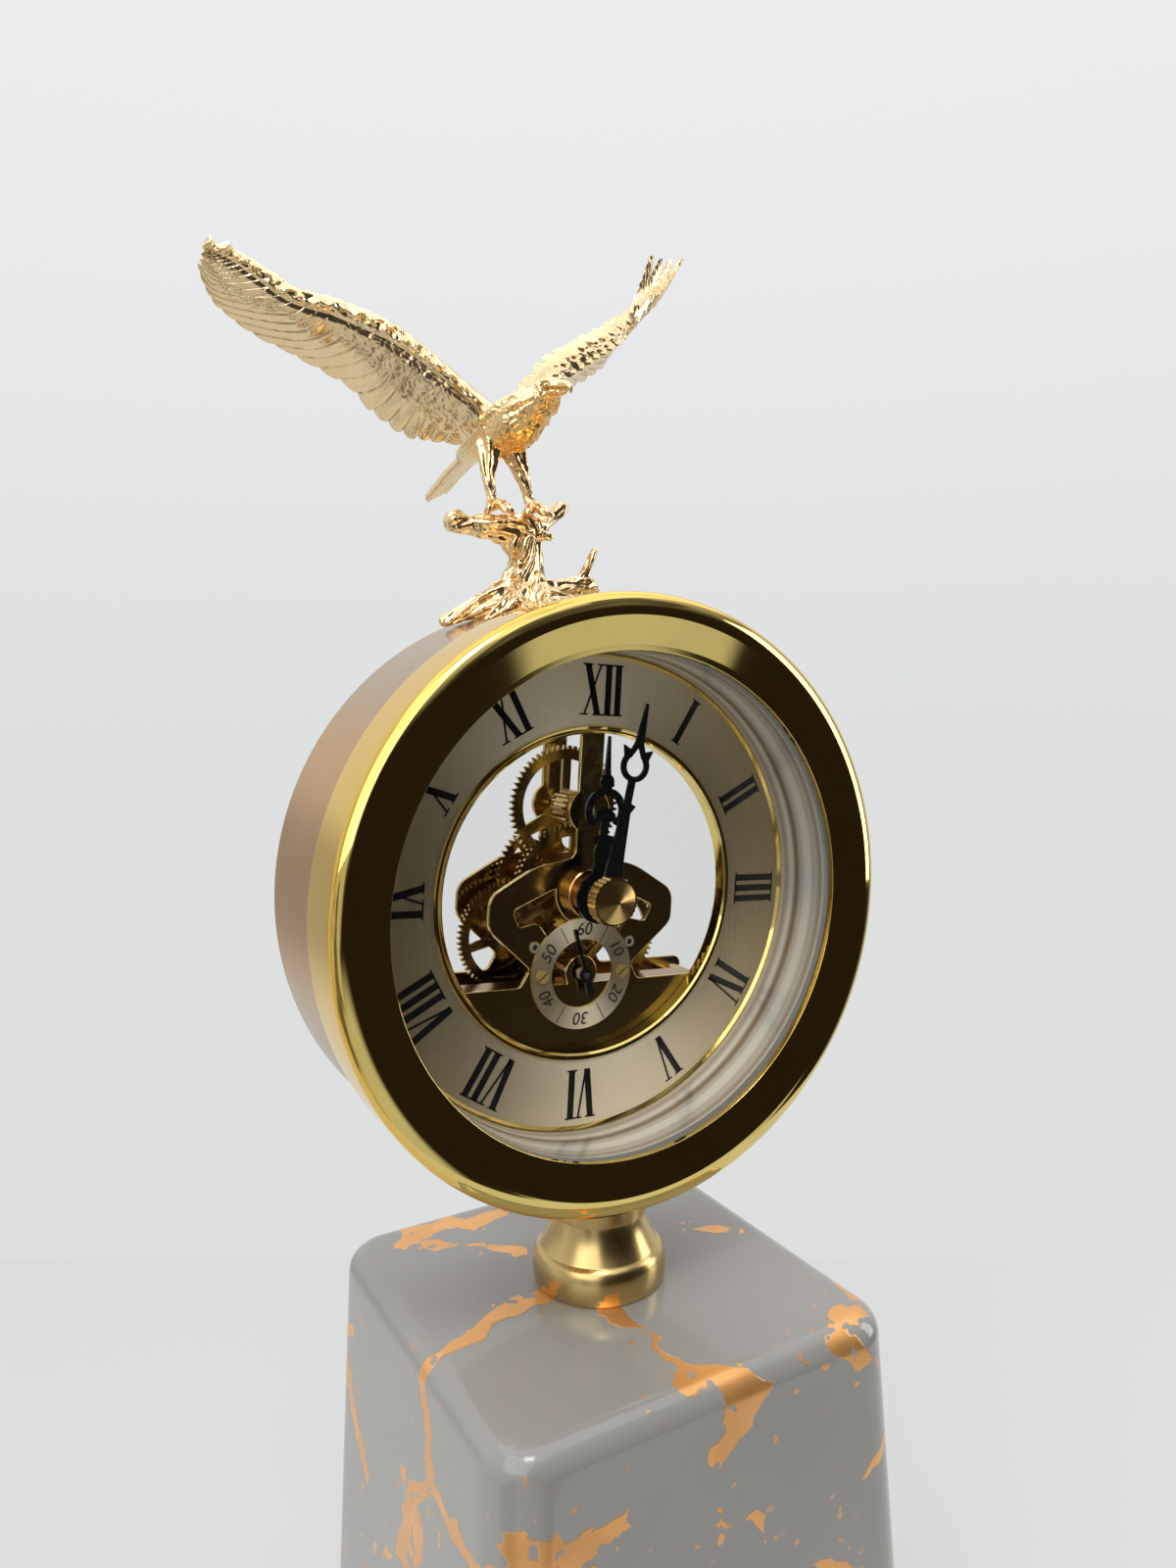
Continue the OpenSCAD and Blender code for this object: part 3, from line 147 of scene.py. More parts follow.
class ClockColours(bpy.types.PropertyGroup):
    glaze: colour("Glaze", "Grey glaze of the plinth", srgb(150, 148, 143))
    foil: colour("Foil", "Copper foil veins in the glaze", srgb(246, 180, 108))
    collar: colour("Collar brass", "Satin brass of the collar", srgb(212, 184, 124))
    champagne: colour("Champagne", "Satin plating of the drum", srgb(222, 172, 112))
    gold: colour("Gold", "Polished plating of the bezel", srgb(232, 208, 126))
    casting: colour("Casting", "Light gold of the sculpture", srgb(240, 214, 168))
    plates: colour("Plates", "Mirror brass of the movement's plates", srgb(216, 190, 124))
    brass: colour("Brass", "Wheels and arbors of the movement", srgb(206, 180, 120))
    silver: colour("Dial silver", "Brushed metal of the dial", srgb(250, 230, 186))
    table: colour("Table", "Surface under the clock", srgb(212, 213, 213))


class ClockStage(bpy.types.PropertyGroup):
    camera_place: FloatVectorProperty(name="Camera place", description="Where the camera stands",
                                      default=(-0.14691, -0.25621, 0.31937), unit="LENGTH")
    lens: FloatProperty(name="Lens", description="Focal length for a 36 mm sensor", default=25.35, min=1)
    table_depth: length("Table depth", "How far the table reaches behind the clock", 0.277)
    table_front: length("Table front", "How far the table reaches in front of the clock", 0.20)
    table_width: length("Table width", "Width of the table", 0.72)
    table_turn: FloatProperty(name="Table turn", description="Turn of the table about the upright",
                              default=0.546, subtype="ANGLE")
    lamp_power: FloatProperty(name="Lamp power", description="Power of the main lamp", default=7.0,
                              unit="POWER")


# Shader maths

class Wire:
    """An output socket that can be used in sums and products; each adds a Math node."""

    def __init__(self, paint, socket):
        self.paint = paint
        self.socket = socket

    def math(self, operation, *others):
        return self.paint.node("ShaderNodeMath", {"operation": operation}, dict(enumerate((self, *others))))

    def reflected(self, operation, other):
        return self.paint.node("ShaderNodeMath", {"operation": operation}, {0: other, 1: self})

    def __add__(self, other): return self.math("ADD", other)
    def __radd__(self, other): return self.reflected("ADD", other)
    def __sub__(self, other): return self.math("SUBTRACT", other)
    def __rsub__(self, other): return self.reflected("SUBTRACT", other)
    def __mul__(self, other): return self.math("MULTIPLY", other)
    def __rmul__(self, other): return self.reflected("MULTIPLY", other)
    def __truediv__(self, other): return self.math("DIVIDE", other)
    def __rtruediv__(self, other): return self.reflected("DIVIDE", other)
    def lowest(self, other): return self.math("MINIMUM", other)
    def highest(self, other): return self.math("MAXIMUM", other)
    def root(self): return self.math("SQRT")

    def smooth(self, low, high, start=0.0, end=1.0):
        """Goes smoothly from start, at low, to end, at high."""
        return self.paint.node("ShaderNodeMapRange", {"interpolation_type": "SMOOTHSTEP"},
                               {0: self, 1: low, 2: high, 3: start, 4: end})


class Paint:
    """A node material under construction."""

    def __init__(self, name, tree=None):
        if tree is None:
            self.material = bpy.data.materials.new("clock_" + name)
            self.material.use_nodes = True
            tree = self.material.node_tree
        self.tree = tree
        tree.nodes.clear()

    def feed(self, socket, value):
        if isinstance(value, Wire):
            self.tree.links.new(value.socket, socket)
        elif isinstance(value, (tuple, list)) and len(value) == 3 and socket.type == "RGBA":
            socket.default_value = (*value, 1)
        else:
            socket.default_value = value

    def node(self, kind, settings=None, values=None, out=0):
        """Adds a node: settings first, then the values or links of its sockets by name or number."""
        node = self.tree.nodes.new(kind)
        for key, value in (settings or {}).items():
            setattr(node, key, value)
        for key, value in (values or {}).items():
            self.feed(node.inputs[key], value)
        return Wire(self, node.outputs[out]) if len(node.outputs) else None

    def place(self, scale=(1, 1, 1), turn=(0, 0, 0), centre=(0, 0, 0)):
        """Object coordinates, moved to a centre, turned and then scaled."""
        here = self.node("ShaderNodeTexCoord", out="Object")
        moved = self.node("ShaderNodeVectorMath", {"operation": "SUBTRACT"}, {0: here, 1: centre})
        return self.node("ShaderNodeMapping", {"vector_type": "POINT"},
                         {"Vector": moved, "Rotation": turn, "Scale": scale})

    def parts(self, vector):
        node = self.node("ShaderNodeSeparateXYZ", None, {0: vector}).socket.node
        return [Wire(self, out) for out in node.outputs]

    def vector(self, x, y, z):
        return self.node("ShaderNodeCombineXYZ", None, {0: x, 1: y, 2: z})

    def noise(self, vector, scale, detail=2.0, rough=0.5, warp=0.0):
        return self.node("ShaderNodeTexNoise", {"noise_dimensions": "3D"},
                         {"Vector": vector, "Scale": scale, "Detail": detail, "Roughness": rough,
                          "Distortion": warp})

    def warped(self, vector, scale, reach):
        """Coordinates pushed to and fro by noise, at most half of reach in each direction."""
        cloud = self.node("ShaderNodeTexNoise", {"noise_dimensions": "3D"},
                          {"Vector": vector, "Scale": scale, "Detail": 2.0}, "Color")
        middle = self.node("ShaderNodeVectorMath", {"operation": "SUBTRACT"}, {0: cloud, 1: (0.5, 0.5, 0.5)})
        return self.node("ShaderNodeVectorMath", {"operation": "MULTIPLY_ADD"},
                         {0: middle, 1: (reach, reach, reach), 2: vector})

    def mix(self, share, first, second):
        """Blend of two colours, which the Mix node takes in sockets 6 and 7 and gives in socket 2."""
        return self.node("ShaderNodeMix", {"data_type": "RGBA"}, {0: share, 6: first, 7: second}, 2)

    def bump(self, height, distance):
        return self.node("ShaderNodeBump", None, {"Strength": 1.0, "Distance": distance, "Height": height})

    def surface(self, **values):
        """Ends the material in a Principled shader; names are its sockets with _ for spaces."""
        values = {key.replace("_", " "): value for key, value in values.items()}
        shader = self.node("ShaderNodeBsdfPrincipled", None, values)
        self.node("ShaderNodeOutputMaterial", None, {"Surface": shader})
        return self.material


def look(name):
    """Material that the finishes step made."""
    return bpy.data.materials["clock_" + name]


def toned(tone, factor):
    """A colour made lighter or darker by a factor."""
    return tuple(v * factor for v in tone)


def around(paint, centre):
    """Radius from an axis that runs from front to back, place along it, and x and z from it, in metres."""
    x, y, z = paint.parts(paint.place(centre=tuple(centre)))
    return (x * x + z * z).root(), y, x, z


# Meshes worked out with numpy

def unit(vectors):
    """Directions of vectors: each is divided by its length."""
    return vectors / np.maximum(np.linalg.norm(vectors, axis=-1, keepdims=True), 1e-12)


def along(rows, share):
    """Smooth curve through rows of values: a cubic between each two, with slopes from their neighbours."""
    rows = np.asarray(rows, float)
    at = np.clip(share, 0, 1) * (len(rows) - 1)
    i = np.minimum(at.astype(int), len(rows) - 2)
    f = (at - i)[..., None]
    a, b, c, d = (rows[np.clip(i + k, 0, len(rows) - 1)] for k in (-1, 0, 1, 2))
    return b + 0.5 * f * (c - a + f * (2 * a - 5 * b + 4 * c - d + f * (3 * (b - c) + d - a)))


def add_object(name, data):
    """Puts data into the scene as an object at the origin."""
    thing = bpy.data.objects.new(name, data)
    bpy.context.scene.collection.objects.link(thing)
    return thing


def settled(thing):
    """New mesh of an object as its type or its modifiers make it; the object is removed."""
    bpy.context.view_layer.update()
    mesh = bpy.data.meshes.new_from_object(thing.evaluated_get(bpy.context.evaluated_depsgraph_get()))
    bpy.data.objects.remove(thing)
    return mesh


def read(items, name, kind=float):
    """Rows of three values, one row for each item of a mesh."""
    values = np.zeros(len(items) * 3, kind)
    items.foreach_get(name, values)
    return values.reshape(-1, 3)


def add_mesh(name, points, faces, smooth=True):
    """Mesh object at the origin from an array of points and an array of quads or triangles."""
    points = np.asarray(points, float).reshape(-1, 3)
    faces = np.asarray(faces, int)
    sides = faces.shape[1]
    mesh = bpy.data.meshes.new(name)
    mesh.vertices.add(len(points))
    mesh.vertices.foreach_set("co", points.ravel())
    mesh.loops.add(faces.size)
    mesh.loops.foreach_set("vertex_index", faces.ravel())
    mesh.polygons.add(len(faces))
    mesh.polygons.foreach_set("loop_start", np.arange(len(faces)) * sides)
    mesh.polygons.foreach_set("loop_total", np.full(len(faces), sides))
    mesh.polygons.foreach_set("use_smooth", np.full(len(faces), smooth))
    mesh.update(calc_edges=True)
    mesh.validate()
    return add_object(name, mesh)


def grid_faces(rows, columns, close_rows=False, close_columns=False, start=0):
    """Quads of a grid of points; a closed direction joins its last line to its first."""
    r = np.arange(rows if close_rows else rows - 1)
    c = np.arange(columns if close_columns else columns - 1)
    r, c = np.meshgrid(r, c, indexing="ij")
    r2, c2 = (r + 1) % rows, (c + 1) % columns
    quads = np.stack((r * columns + c, r2 * columns + c, r2 * columns + c2, r * columns + c2), -1)
    return quads.reshape(-1, 4) + start


def dial_place(across, outward, turn, front, centre):
    """Point on the dial: across and outward along the direction of a clock angle, front the y place."""
    across, outward, front = np.broadcast_arrays(across, outward, front)
    x = centre[0] + outward * math.sin(turn) + across * math.cos(turn)
    z = centre[2] + outward * math.cos(turn) - across * math.sin(turn)
    return np.stack((x, front, z), -1)


def blended(corners, ends=False):
    """Outline through corners (a, b, reach): each corner is cut back by reach along both sides and bridged
    by a parabola, with one more point just outside each end to keep the flats flat. The outline is closed;
    with ends, the first and last corners only give the direction and are left out."""
    corners = np.asarray(corners, float)
    spot, reach = corners[:, :2], corners[:, 2:]
    before, after = (unit(np.roll(spot, shift, 0) - spot) for shift in (1, -1))
    steps, outside, least = 8, 0.15, 0.00002
    t = np.linspace(0, 1, steps)[None, :, None]
    start, end = (spot + before * reach)[:, None], (spot + after * reach)[:, None]
    curve = start * (1 - t) ** 2 + 2 * spot[:, None] * t * (1 - t) + end * t ** 2
    first = start + (before * (reach * outside + least))[:, None]
    last = end + (after * (reach * outside + least))[:, None]
    path = np.concatenate((first, curve, last), 1)
    return (path[1:-1] if ends else path).reshape(-1, 2)


def closed_piece(name, grid):
    """Mesh of a grid that closes on itself both ways, with its faces turned outwards."""
    faces = grid_faces(*grid.shape[:2], close_rows=True, close_columns=True)
    points = grid.reshape(-1, 3)
    a, b, c = (points[faces[:, k]] - points.mean(0) for k in (0, 1, 2))
    if (a * np.cross(b, c)).sum() < 0:
        faces = faces[:, ::-1]
    return add_mesh(name, grid, faces)


def turned(name, outline, centre, lathe_axis, columns=360):
    """Ring turned from a closed outline of radius and place along the axis."""
    angle = np.arange(columns) * 2 * math.pi / columns
    flat = np.stack((np.sin(angle), np.cos(angle)), -1)
    spokes = np.insert(flat, 1 if lathe_axis == 1 else 2, 0, axis=1)
    grid = np.asarray(centre) * (1 - np.eye(3)[lathe_axis]) + outline[:, None, :1] * spokes[None]
    return closed_piece(name, grid + outline[:, None, 1:] * np.eye(3)[lathe_axis])


def square_loops(half, corner):
    """Rounded squares, one for each entry of half width and corner radius: four arcs joined by straights."""
    arc, straight = 22, 14
    half, corner = np.asarray(half)[:, None], np.asarray(corner)[:, None]
    swing = np.linspace(0, math.pi / 2, arc)
    between = np.linspace(0, 1, straight + 2)[1:-1]
    parts = []
    for quarter in range(4):
        first = quarter * math.pi / 2
        x, y = (np.sign(f(first + math.pi / 4)) * (half - corner) for f in (math.cos, math.sin))
        bend = np.stack((x + corner * np.cos(first + swing), y + corner * np.sin(first + swing)), -1)
        side = 2 * (half - corner) * between
        run = np.stack((bend[:, -1:, 0] - math.sin(first + math.pi / 2) * side,
                        bend[:, -1:, 1] + math.cos(first + math.pi / 2) * side), -1)
        parts += [bend, run]
    return np.concatenate(parts, 1)


def plates(outlines, thickness):
    """Thin closed slabs over flat quads: each outline's four corners, then the same four further back."""
    outlines = np.asarray(outlines)
    points = np.concatenate((outlines, outlines + np.array((0, thickness, 0))), 1)
    one = np.array(((0, 1, 2, 3), (7, 6, 5, 4), (0, 4, 5, 1), (1, 5, 6, 2), (2, 6, 7, 3), (3, 7, 4, 0)))
    faces = (one[None] + 8 * np.arange(len(outlines))[:, None, None]).reshape(-1, 4)
    return points.reshape(-1, 3), faces


def stroke(bottom, top, width):
    """Flat stroke as four corners, cut level at both ends: bottom and top are (across, height)."""
    half = width / 2
    return [(bottom[0] - half, bottom[1]), (bottom[0] + half, bottom[1]),
            (top[0] + half, top[1]), (top[0] - half, top[1])]


def roman_strokes(letters, high, stem, hairline):
    """Corners of the strokes of a numeral, centred: thick and thin strokes, and thin serifs. Each letter's
    strokes run from bottom to top, and its ends are the middle, width and level of a serif."""
    serif, spread, gap = hairline * 0.72, stem * 0.32, stem * 0.62
    wide = {"I": stem, "V": stem * 2.75, "X": stem * 2.85}
    left = -(sum(wide[c] for c in letters) + gap * (len(letters) - 1)) / 2
    strokes = []
    for c in letters:
        right = left + wide[c]
        thick, thin, top = left + stem / 2, right - hairline / 2, high - serif
        if c == "I":
            middle = left + wide[c] / 2
            strokes.append(stroke((middle, 0), (middle, high), stem))
            ends = [(middle, stem, 0), (middle, stem, top)]
        elif c == "V":
            foot = left + wide[c] * 0.52
            strokes += [stroke((foot, 0), (thick, high), stem),
                        stroke((foot + stem * 0.2, 0), (thin, high), hairline)]
            ends = [(thick, stem, top), (thin, hairline * 2, top)]
        else:
            strokes += [stroke((right - stem / 2, 0), (thick, high), stem),
                        stroke((left + hairline / 2, 0), (thin, high), hairline)]
            ends = [(right - stem / 2, stem, 0), (thick, stem, top),
                    (left + hairline / 2, hairline * 2, 0), (thin, hairline * 2, top)]
        for middle, width, level in ends:
            strokes.append(stroke((middle, level), (middle, level + serif), width + 2 * spread))
        left = right + gap
    return np.array(strokes)


def flat_text(body, size):
    """Corners and triangles of a flat word in the built-in type, centred on its own box."""
    curve = bpy.data.curves.new("type", "FONT")
    curve.body = body
    curve.size = size
    curve.shear = 0.15
    curve.extrude = 0.00005
    curve.resolution_u = 6
    mesh = settled(add_object("type", curve))
    mesh.calc_loop_triangles()
    points, triangles = read(mesh.vertices, "co"), read(mesh.loop_triangles, "vertices", int)
    bpy.data.curves.remove(curve)
    bpy.data.meshes.remove(mesh)
    points[:, :2] -= (points[:, :2].min(0) + points[:, :2].max(0)) / 2
    return points, triangles


def dress(node, material):
    """Gives a CAD node its material."""
    piece = frame["nodes"][node]
    piece.data.materials.clear()
    piece.data.materials.append(material)


def finish_piece(piece, body, material, slot, *nodes):
    """Gives a new piece its material and its body, and hides the nodes that it stands for; slot is not used.
    """
    piece.data.materials.append(material)
    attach(piece, body)
    if nodes:
        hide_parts(*nodes)


# Materials

def paint_glaze(glaze, foil):
    """Grey glaze with copper foil: the walls of large bent cells, whose width wanders from none to broad
    splashes, with small holes in them and specks beside them."""
    paint = Paint("ceramic_glaze")
    here = paint.place()
    cells, bareness, broadest, ragged, edge, nearby = 17.0, 0.47, 0.05, 0.03, 0.008, 0.16
    bent = paint.warped(paint.warped(here, 26, 0.034), 120, 0.006)
    walls = paint.node("ShaderNodeTexVoronoi", {"voronoi_dimensions": "3D", "feature": "DISTANCE_TO_EDGE"},
                       {"Vector": bent, "Scale": cells, "Randomness": 1.0})
    width = ((paint.noise(here, 30, 2, 0.5) - bareness) * 0.8).lowest(broadest)
    vein = (width - walls + (paint.noise(here, 240, 3, 0.6) - 0.5) * ragged).smooth(0.0, edge)
    near = (width - walls).smooth(-nearby, 0.0)
    holes = paint.noise(here, 190, 1, 0.5).smooth(0.655, 0.665)
    specks = paint.noise(here, 240, 1, 0.5).smooth(0.685, 0.695) * near
    gilt = (vein * (1 - holes)).highest(specks)
    copper = paint.mix(paint.noise(here, 90, 2, 0.5).smooth(0.35, 0.7), toned(foil, 0.86), foil)
    cloud = paint.noise(here, 14, 2, 0.5).smooth(0.3, 0.7)
    grey = paint.mix(cloud, toned(glaze, 0.94), toned(glaze, 1.05))
    fine = paint.noise(here, 900, 2, 0.6)
    return paint.surface(Base_Color=paint.mix(gilt, grey, copper), Metallic=gilt * 0.6,
                         Roughness=0.15 + gilt * (0.10 + 0.12 * fine), Coat_Weight=0.3, Coat_Roughness=0.05,
                         Normal=paint.bump(gilt + (fine - 0.5) * 0.1, 0.00008))


def paint_metal(name, tone, rough, streak=0.0, ring=None, scratch=0.0, rim=0.0, upper=None, deep=None):
    """Plated metal: faint cloudiness in colour and gloss. ring is how many turned lines a metre holds and
    streak how deep they show, scratch how deep straight hairs are, rim how much painted shade darkens the
    metal where it turns away from the view. upper is a painted reflection: the paler tone towards the top
    and the bottom. deep is a painted reflection: the warmer tone of the bezel's round side."""
    paint = Paint(name)
    here = paint.place()
    turned_depth, plain_depth, side_width = 0.000012, 0.000004, 0.0025
    cloud = paint.noise(here, 55, 3, 0.55)
    base = paint.mix(cloud.smooth(0.35, 0.65), toned(tone, 0.94), tone)
    # Painted reflection: a paler tone towards the top and the bottom
    if upper:
        height = around(paint, AXIS)[3]
        top, bottom = height.smooth(0.040, 0.060), height.smooth(-0.008, -0.035)
        base = paint.mix(top.highest(bottom), base, upper)
    # Painted reflection: a warmer gold on the bezel's round side
    if deep:
        side = around(paint, AXIS)[0].smooth(BEZEL_RADIUS - side_width, BEZEL_RADIUS - BROKEN_EDGE)
        base = paint.mix(side, base, deep)
    # Painted shade: the metal darkens where it turns away from the view
    if rim:
        painted_grazing_shade = paint.node("ShaderNodeLayerWeight", None, {"Blend": 0.5}, "Facing")
        base = paint.mix(painted_grazing_shade.smooth(0.3, 1.0) * rim, base, toned(tone, 0.3))
    gloss = rough + (cloud - 0.5) * rough * 0.5
    height = paint.noise(here, 900, 2, 0.6) * 0.15
    if ring:
        radius, depth = around(paint, AXIS)[:2]
        lines = paint.noise(paint.vector(radius * ring, depth * ring, 0.0), 1.0, 2, 0.7)
        base = paint.mix((lines - 0.4).lowest(0.4) * streak, base, toned(tone, 0.6))
        gloss = gloss + (lines - 0.5) * streak * 0.25
        height = height + lines
    if scratch:
        height = height + paint.noise(paint.place(scale=(1, 1, 0.04)), 2600, 1, 0.5) * scratch
    return paint.surface(Base_Color=base, Metallic=1.0, Roughness=gloss,
                         Normal=paint.bump(height, turned_depth if ring or scratch else plain_depth))


def paint_brushed_dial(name, tone, centre):
    """Brushed dial metal: long fine hairs across and up the dial, and a sheen that is bright along one line
    through the centre and dark across it, as turned metal shows: the fourth power of the angle's cosine."""
    paint = Paint(name)
    turn, axis = (0, DIAL_TURN, 0), tuple(AXIS)
    up = paint.noise(paint.place((1, 1, 0.02), turn, axis), 2400, 2, 0.6)
    over = paint.noise(paint.place((0.03, 1, 1), turn, axis), 1900, 2, 0.6)
    band = paint.noise(paint.place((1, 1, 0.12), centre=axis), 90, 2, 0.5)
    hair = up * 0.7 + over * 0.3
    base = paint.mix(hair.smooth(0.38, 0.64), toned(tone, 0.86), tone)
    base = paint.mix(band.smooth(0.3, 0.7) * 0.25, base, toned(tone, 0.8))
    radius, _, x, z = around(paint, centre)
    line = (x * math.sin(SHEEN_TURN) + z * math.cos(SHEEN_TURN)) / radius
    sheen = line * line * line * line
    dark, bright = paint.mix(0.66, base, srgb(74, 58, 36)), paint.mix(0.7, base, srgb(255, 243, 216))
    base = paint.mix(sheen, dark, bright)
    return paint.surface(Base_Color=base, Metallic=0.5 - sheen * sheen * 0.42, Roughness=0.34 + hair * 0.16,
                         Normal=paint.bump(hair, 0.00002))


def paint_wall():
    """Pale polished wall round the dial, with painted reflection in its colour: soft brown and pale rings
    along its depth.
    """
    paint = Paint("inner_wall")
    depth = around(paint, AXIS)[1]
    painted_reflection_bands = paint.noise(paint.vector(depth, 0.0, 0.0), 170, 1, 0.5)
    fine = paint.noise(paint.place(scale=(1, 6, 1)), 500, 2, 0.5)
    # Painted reflection: brownish and near white rings along the depth
    base = paint.mix(painted_reflection_bands.smooth(0.36, 0.60), srgb(150, 130, 104), srgb(244, 242, 236))
    return paint.surface(Base_Color=base, Metallic=0.45, Roughness=0.2 + fine * 0.1,
                         Normal=paint.bump(painted_reflection_bands * 3 + fine * 0.2, 0.00002))


def paint_plain(name, tone, rough, grain=600, depth=0.00002, metallic=0.0):
    """Moulded or painted surface: fine grain in height, gloss and tone."""
    paint = Paint(name)
    here = paint.place()
    fine = paint.noise(here, grain, 3, 0.6)
    base = paint.mix(paint.noise(here, 70, 2, 0.5), toned(tone, 0.88), toned(tone, 1.12))
    return paint.surface(Base_Color=base, Metallic=metallic, Roughness=rough + (fine - 0.5) * 0.12,
                         Normal=paint.bump(fine, depth))


def paint_board():
    """Wood board: rings of wandering grain lines."""
    paint = Paint("board")
    grain = paint.noise(paint.place(scale=(1, 0.08, 1)), 320, 4, 0.6, 0.6)
    base = paint.mix(grain.smooth(0.35, 0.65), srgb(120, 88, 55), srgb(176, 138, 92))
    return paint.surface(Base_Color=base, Roughness=0.6 + grain * 0.15, Normal=paint.bump(grain, 0.00006))


def paint_felt():
    """Felt: matted short fibres."""
    paint = Paint("felt")
    fibre = paint.noise(paint.place(), 1800, 4, 0.75, 1.5)
    base = paint.mix(fibre.smooth(0.35, 0.7), srgb(28, 34, 31), srgb(70, 78, 72))
    return paint.surface(Base_Color=base, Roughness=0.92, Normal=paint.bump(fibre, 0.00025))


def paint_glass():
    """Clear glass: nearly see-through, with its gloss and faint dust."""
    paint = Paint("clear_glass")
    dust = paint.noise(paint.place(), 1500, 1, 0.5).smooth(0.72, 0.76)
    rim = paint.node("ShaderNodeLayerWeight", None, {"Blend": 0.25}, "Facing")
    return paint.surface(Base_Color=paint.mix(dust, (0.01, 0.012, 0.012), (0.5, 0.5, 0.5)),
                         Roughness=0.02 + dust * 0.2, Alpha=0.02 + rim * 0.08 + dust * 0.10)


def paint_casting(name, tone, warm=0.0):
    """Light gold casting: bright on crests, darker with painted shade and rougher in grooves, with fine pits.
    warm is the depth of the tint that the attribute of that name gives, a painted reflection where gold
    reflects in gold."""
    paint = Paint(name)
    here = paint.place()
    relief = paint.node("ShaderNodeAttribute", {"attribute_name": "relief"}, None, "Fac")
    cloud = paint.noise(here, 120, 3, 0.6)
    pits = paint.noise(here, 1400, 2, 0.6)
    groove = relief.smooth(0.10, 0.58, 1.0, 0.0)
    # Painted shade: a darker brown in the grooves
    base = paint.mix(groove * 0.7, tone, srgb(140, 104, 66))
    if warm:
        lit = paint.node("ShaderNodeAttribute", {"attribute_name": "warm"}, None, "Fac")
        base = paint.mix(lit * warm, base, srgb(238, 176, 84))
    base = paint.mix(cloud.smooth(0.4, 0.7) * 0.2, base, srgb(236, 190, 120))
    return paint.surface(Base_Color=base, Metallic=0.94, Roughness=0.14 + groove * 0.2 + (cloud - 0.5) * 0.12,
                         Normal=paint.bump(pits + cloud * 2, 0.00003))


class CLOCK_OT_node_finishes(bpy.types.Operator):
    """Gives every CAD node its metal, glaze, glass or plastic"""
    bl_idname = "clock.node_finishes"
    bl_label = "Finish CAD parts"

    def execute(self, context):
        tones = context.scene.clock_colours
        glaze, foil, collar, champagne, gold, casting, plates_brass, brass, silver = (
            tuple(getattr(tones, name)) for name in (
                "glaze", "foil", "collar", "champagne", "gold", "casting", "plates", "brass", "silver"))
        # The first tone is a painted pale reflection for the drum's top and bottom
        painted_pale_reflection, grey = srgb(200, 176, 142), srgb(205, 206, 208)
        finishes = {
            paint_glaze(glaze, foil): ["ceramic_base"],
            paint_board(): ["bottom_board"],
            paint_felt(): ["base_felt"],
            paint_metal("satin_brass", collar, 0.25, 0.4, 5200): ["neck_collar"],
            paint_metal("steel", grey, 0.22, 0.3, 4000):
                ["neck_stud", "base_washer", "base_nut", "pillar_screws", "second_arbor",
                 "stump_screw", "battery_contacts"],
            paint_plain("bush_silver", srgb(206, 205, 202), 0.3, 500, 0.00001, 0.6): ["pivot_bushes"],
            # Painted light on the drum: its upper tone is a painted reflection, its rim a painted shade
            paint_metal("champagne", champagne, 0.24, 0.45, 4200, rim=0.35, upper=painted_pale_reflection): ["case_drum"],
            paint_metal("champagne_ring", champagne, 0.24, 0.45, 4200): ["rear_ring"],
            # Painted reflection on the bezel: its deep tone, a warmer gold on the round side
            paint_metal("polished_gold", gold, 0.06, deep=srgb(238, 196, 96)): ["bezel"],
            paint_metal("trim_gold", gold, 0.06): ["dial_outer_trim", "dial_inner_trim"],
            paint_wall(): ["inner_ring"],
            paint_metal("mirror_brass", plates_brass, 0.13, scratch=0.2): ["front_plate", "back_plate"],
            paint_glass(): ["front_glass", "rear_glass"],
            paint_plain("dark_carrier", srgb(60, 54, 48), 0.5): ["carrier_ring"],
            paint_metal("motor_brown", srgb(176, 140, 90), 0.2): ["motor_case"],
            paint_brushed_dial("dial_silver", silver, AXIS): ["chapter_ring"],
            paint_brushed_dial("seconds_silver", silver, SECONDS_AXIS): ["seconds_dial"],
            paint_metal("gear_brass", brass, 0.2, 0.3, 3000):
                ["dial_feet", "plate_pillars", "back_bushes", "minute_wheel", "hour_wheel", "upper_arbor",
                 "upper_wheel", "left_arbor", "left_wheel", "right_arbor", "right_wheel"],
            paint_metal("nut_brass", srgb(226, 190, 120), 0.2, 0.4, 3600): ["hand_nut", "minute_arbor"],
            paint_plain("screw_brass", srgb(232, 200, 118), 0.3, 500, 0.00001, 0.6): ["seconds_dial_screws"],
            paint_metal("copper", srgb(206, 160, 98), 0.16, 0.2, 3000): ["hour_bush"],
            paint_plain("black_hands", srgb(18, 18, 19), 0.2, 400, 0.00001):
                ["minute_hand", "hour_hand", "second_hand"],
            paint_plain("black_knob", srgb(30, 30, 31), 0.42): ["setting_knob"],
            paint_plain("cell_wrap", srgb(52, 66, 84), 0.3, 300, 0.00001): ["battery"],
            paint_casting("gilt_casting", casting): ["eagle_right_wing", "eagle_left_wing", "tree_stump"],
            paint_casting("gilt_body", casting, 0.75): ["eagle_body"],
        }
        for material, nodes in finishes.items():
            for node in nodes:
                dress(node, material)
        missing = [n for n, o in frame["nodes"].items() if not any(o.name in v for v in finishes.values())]
        if missing:
            raise RuntimeError(f"no finish for {missing}")
        return {"FINISHED"}


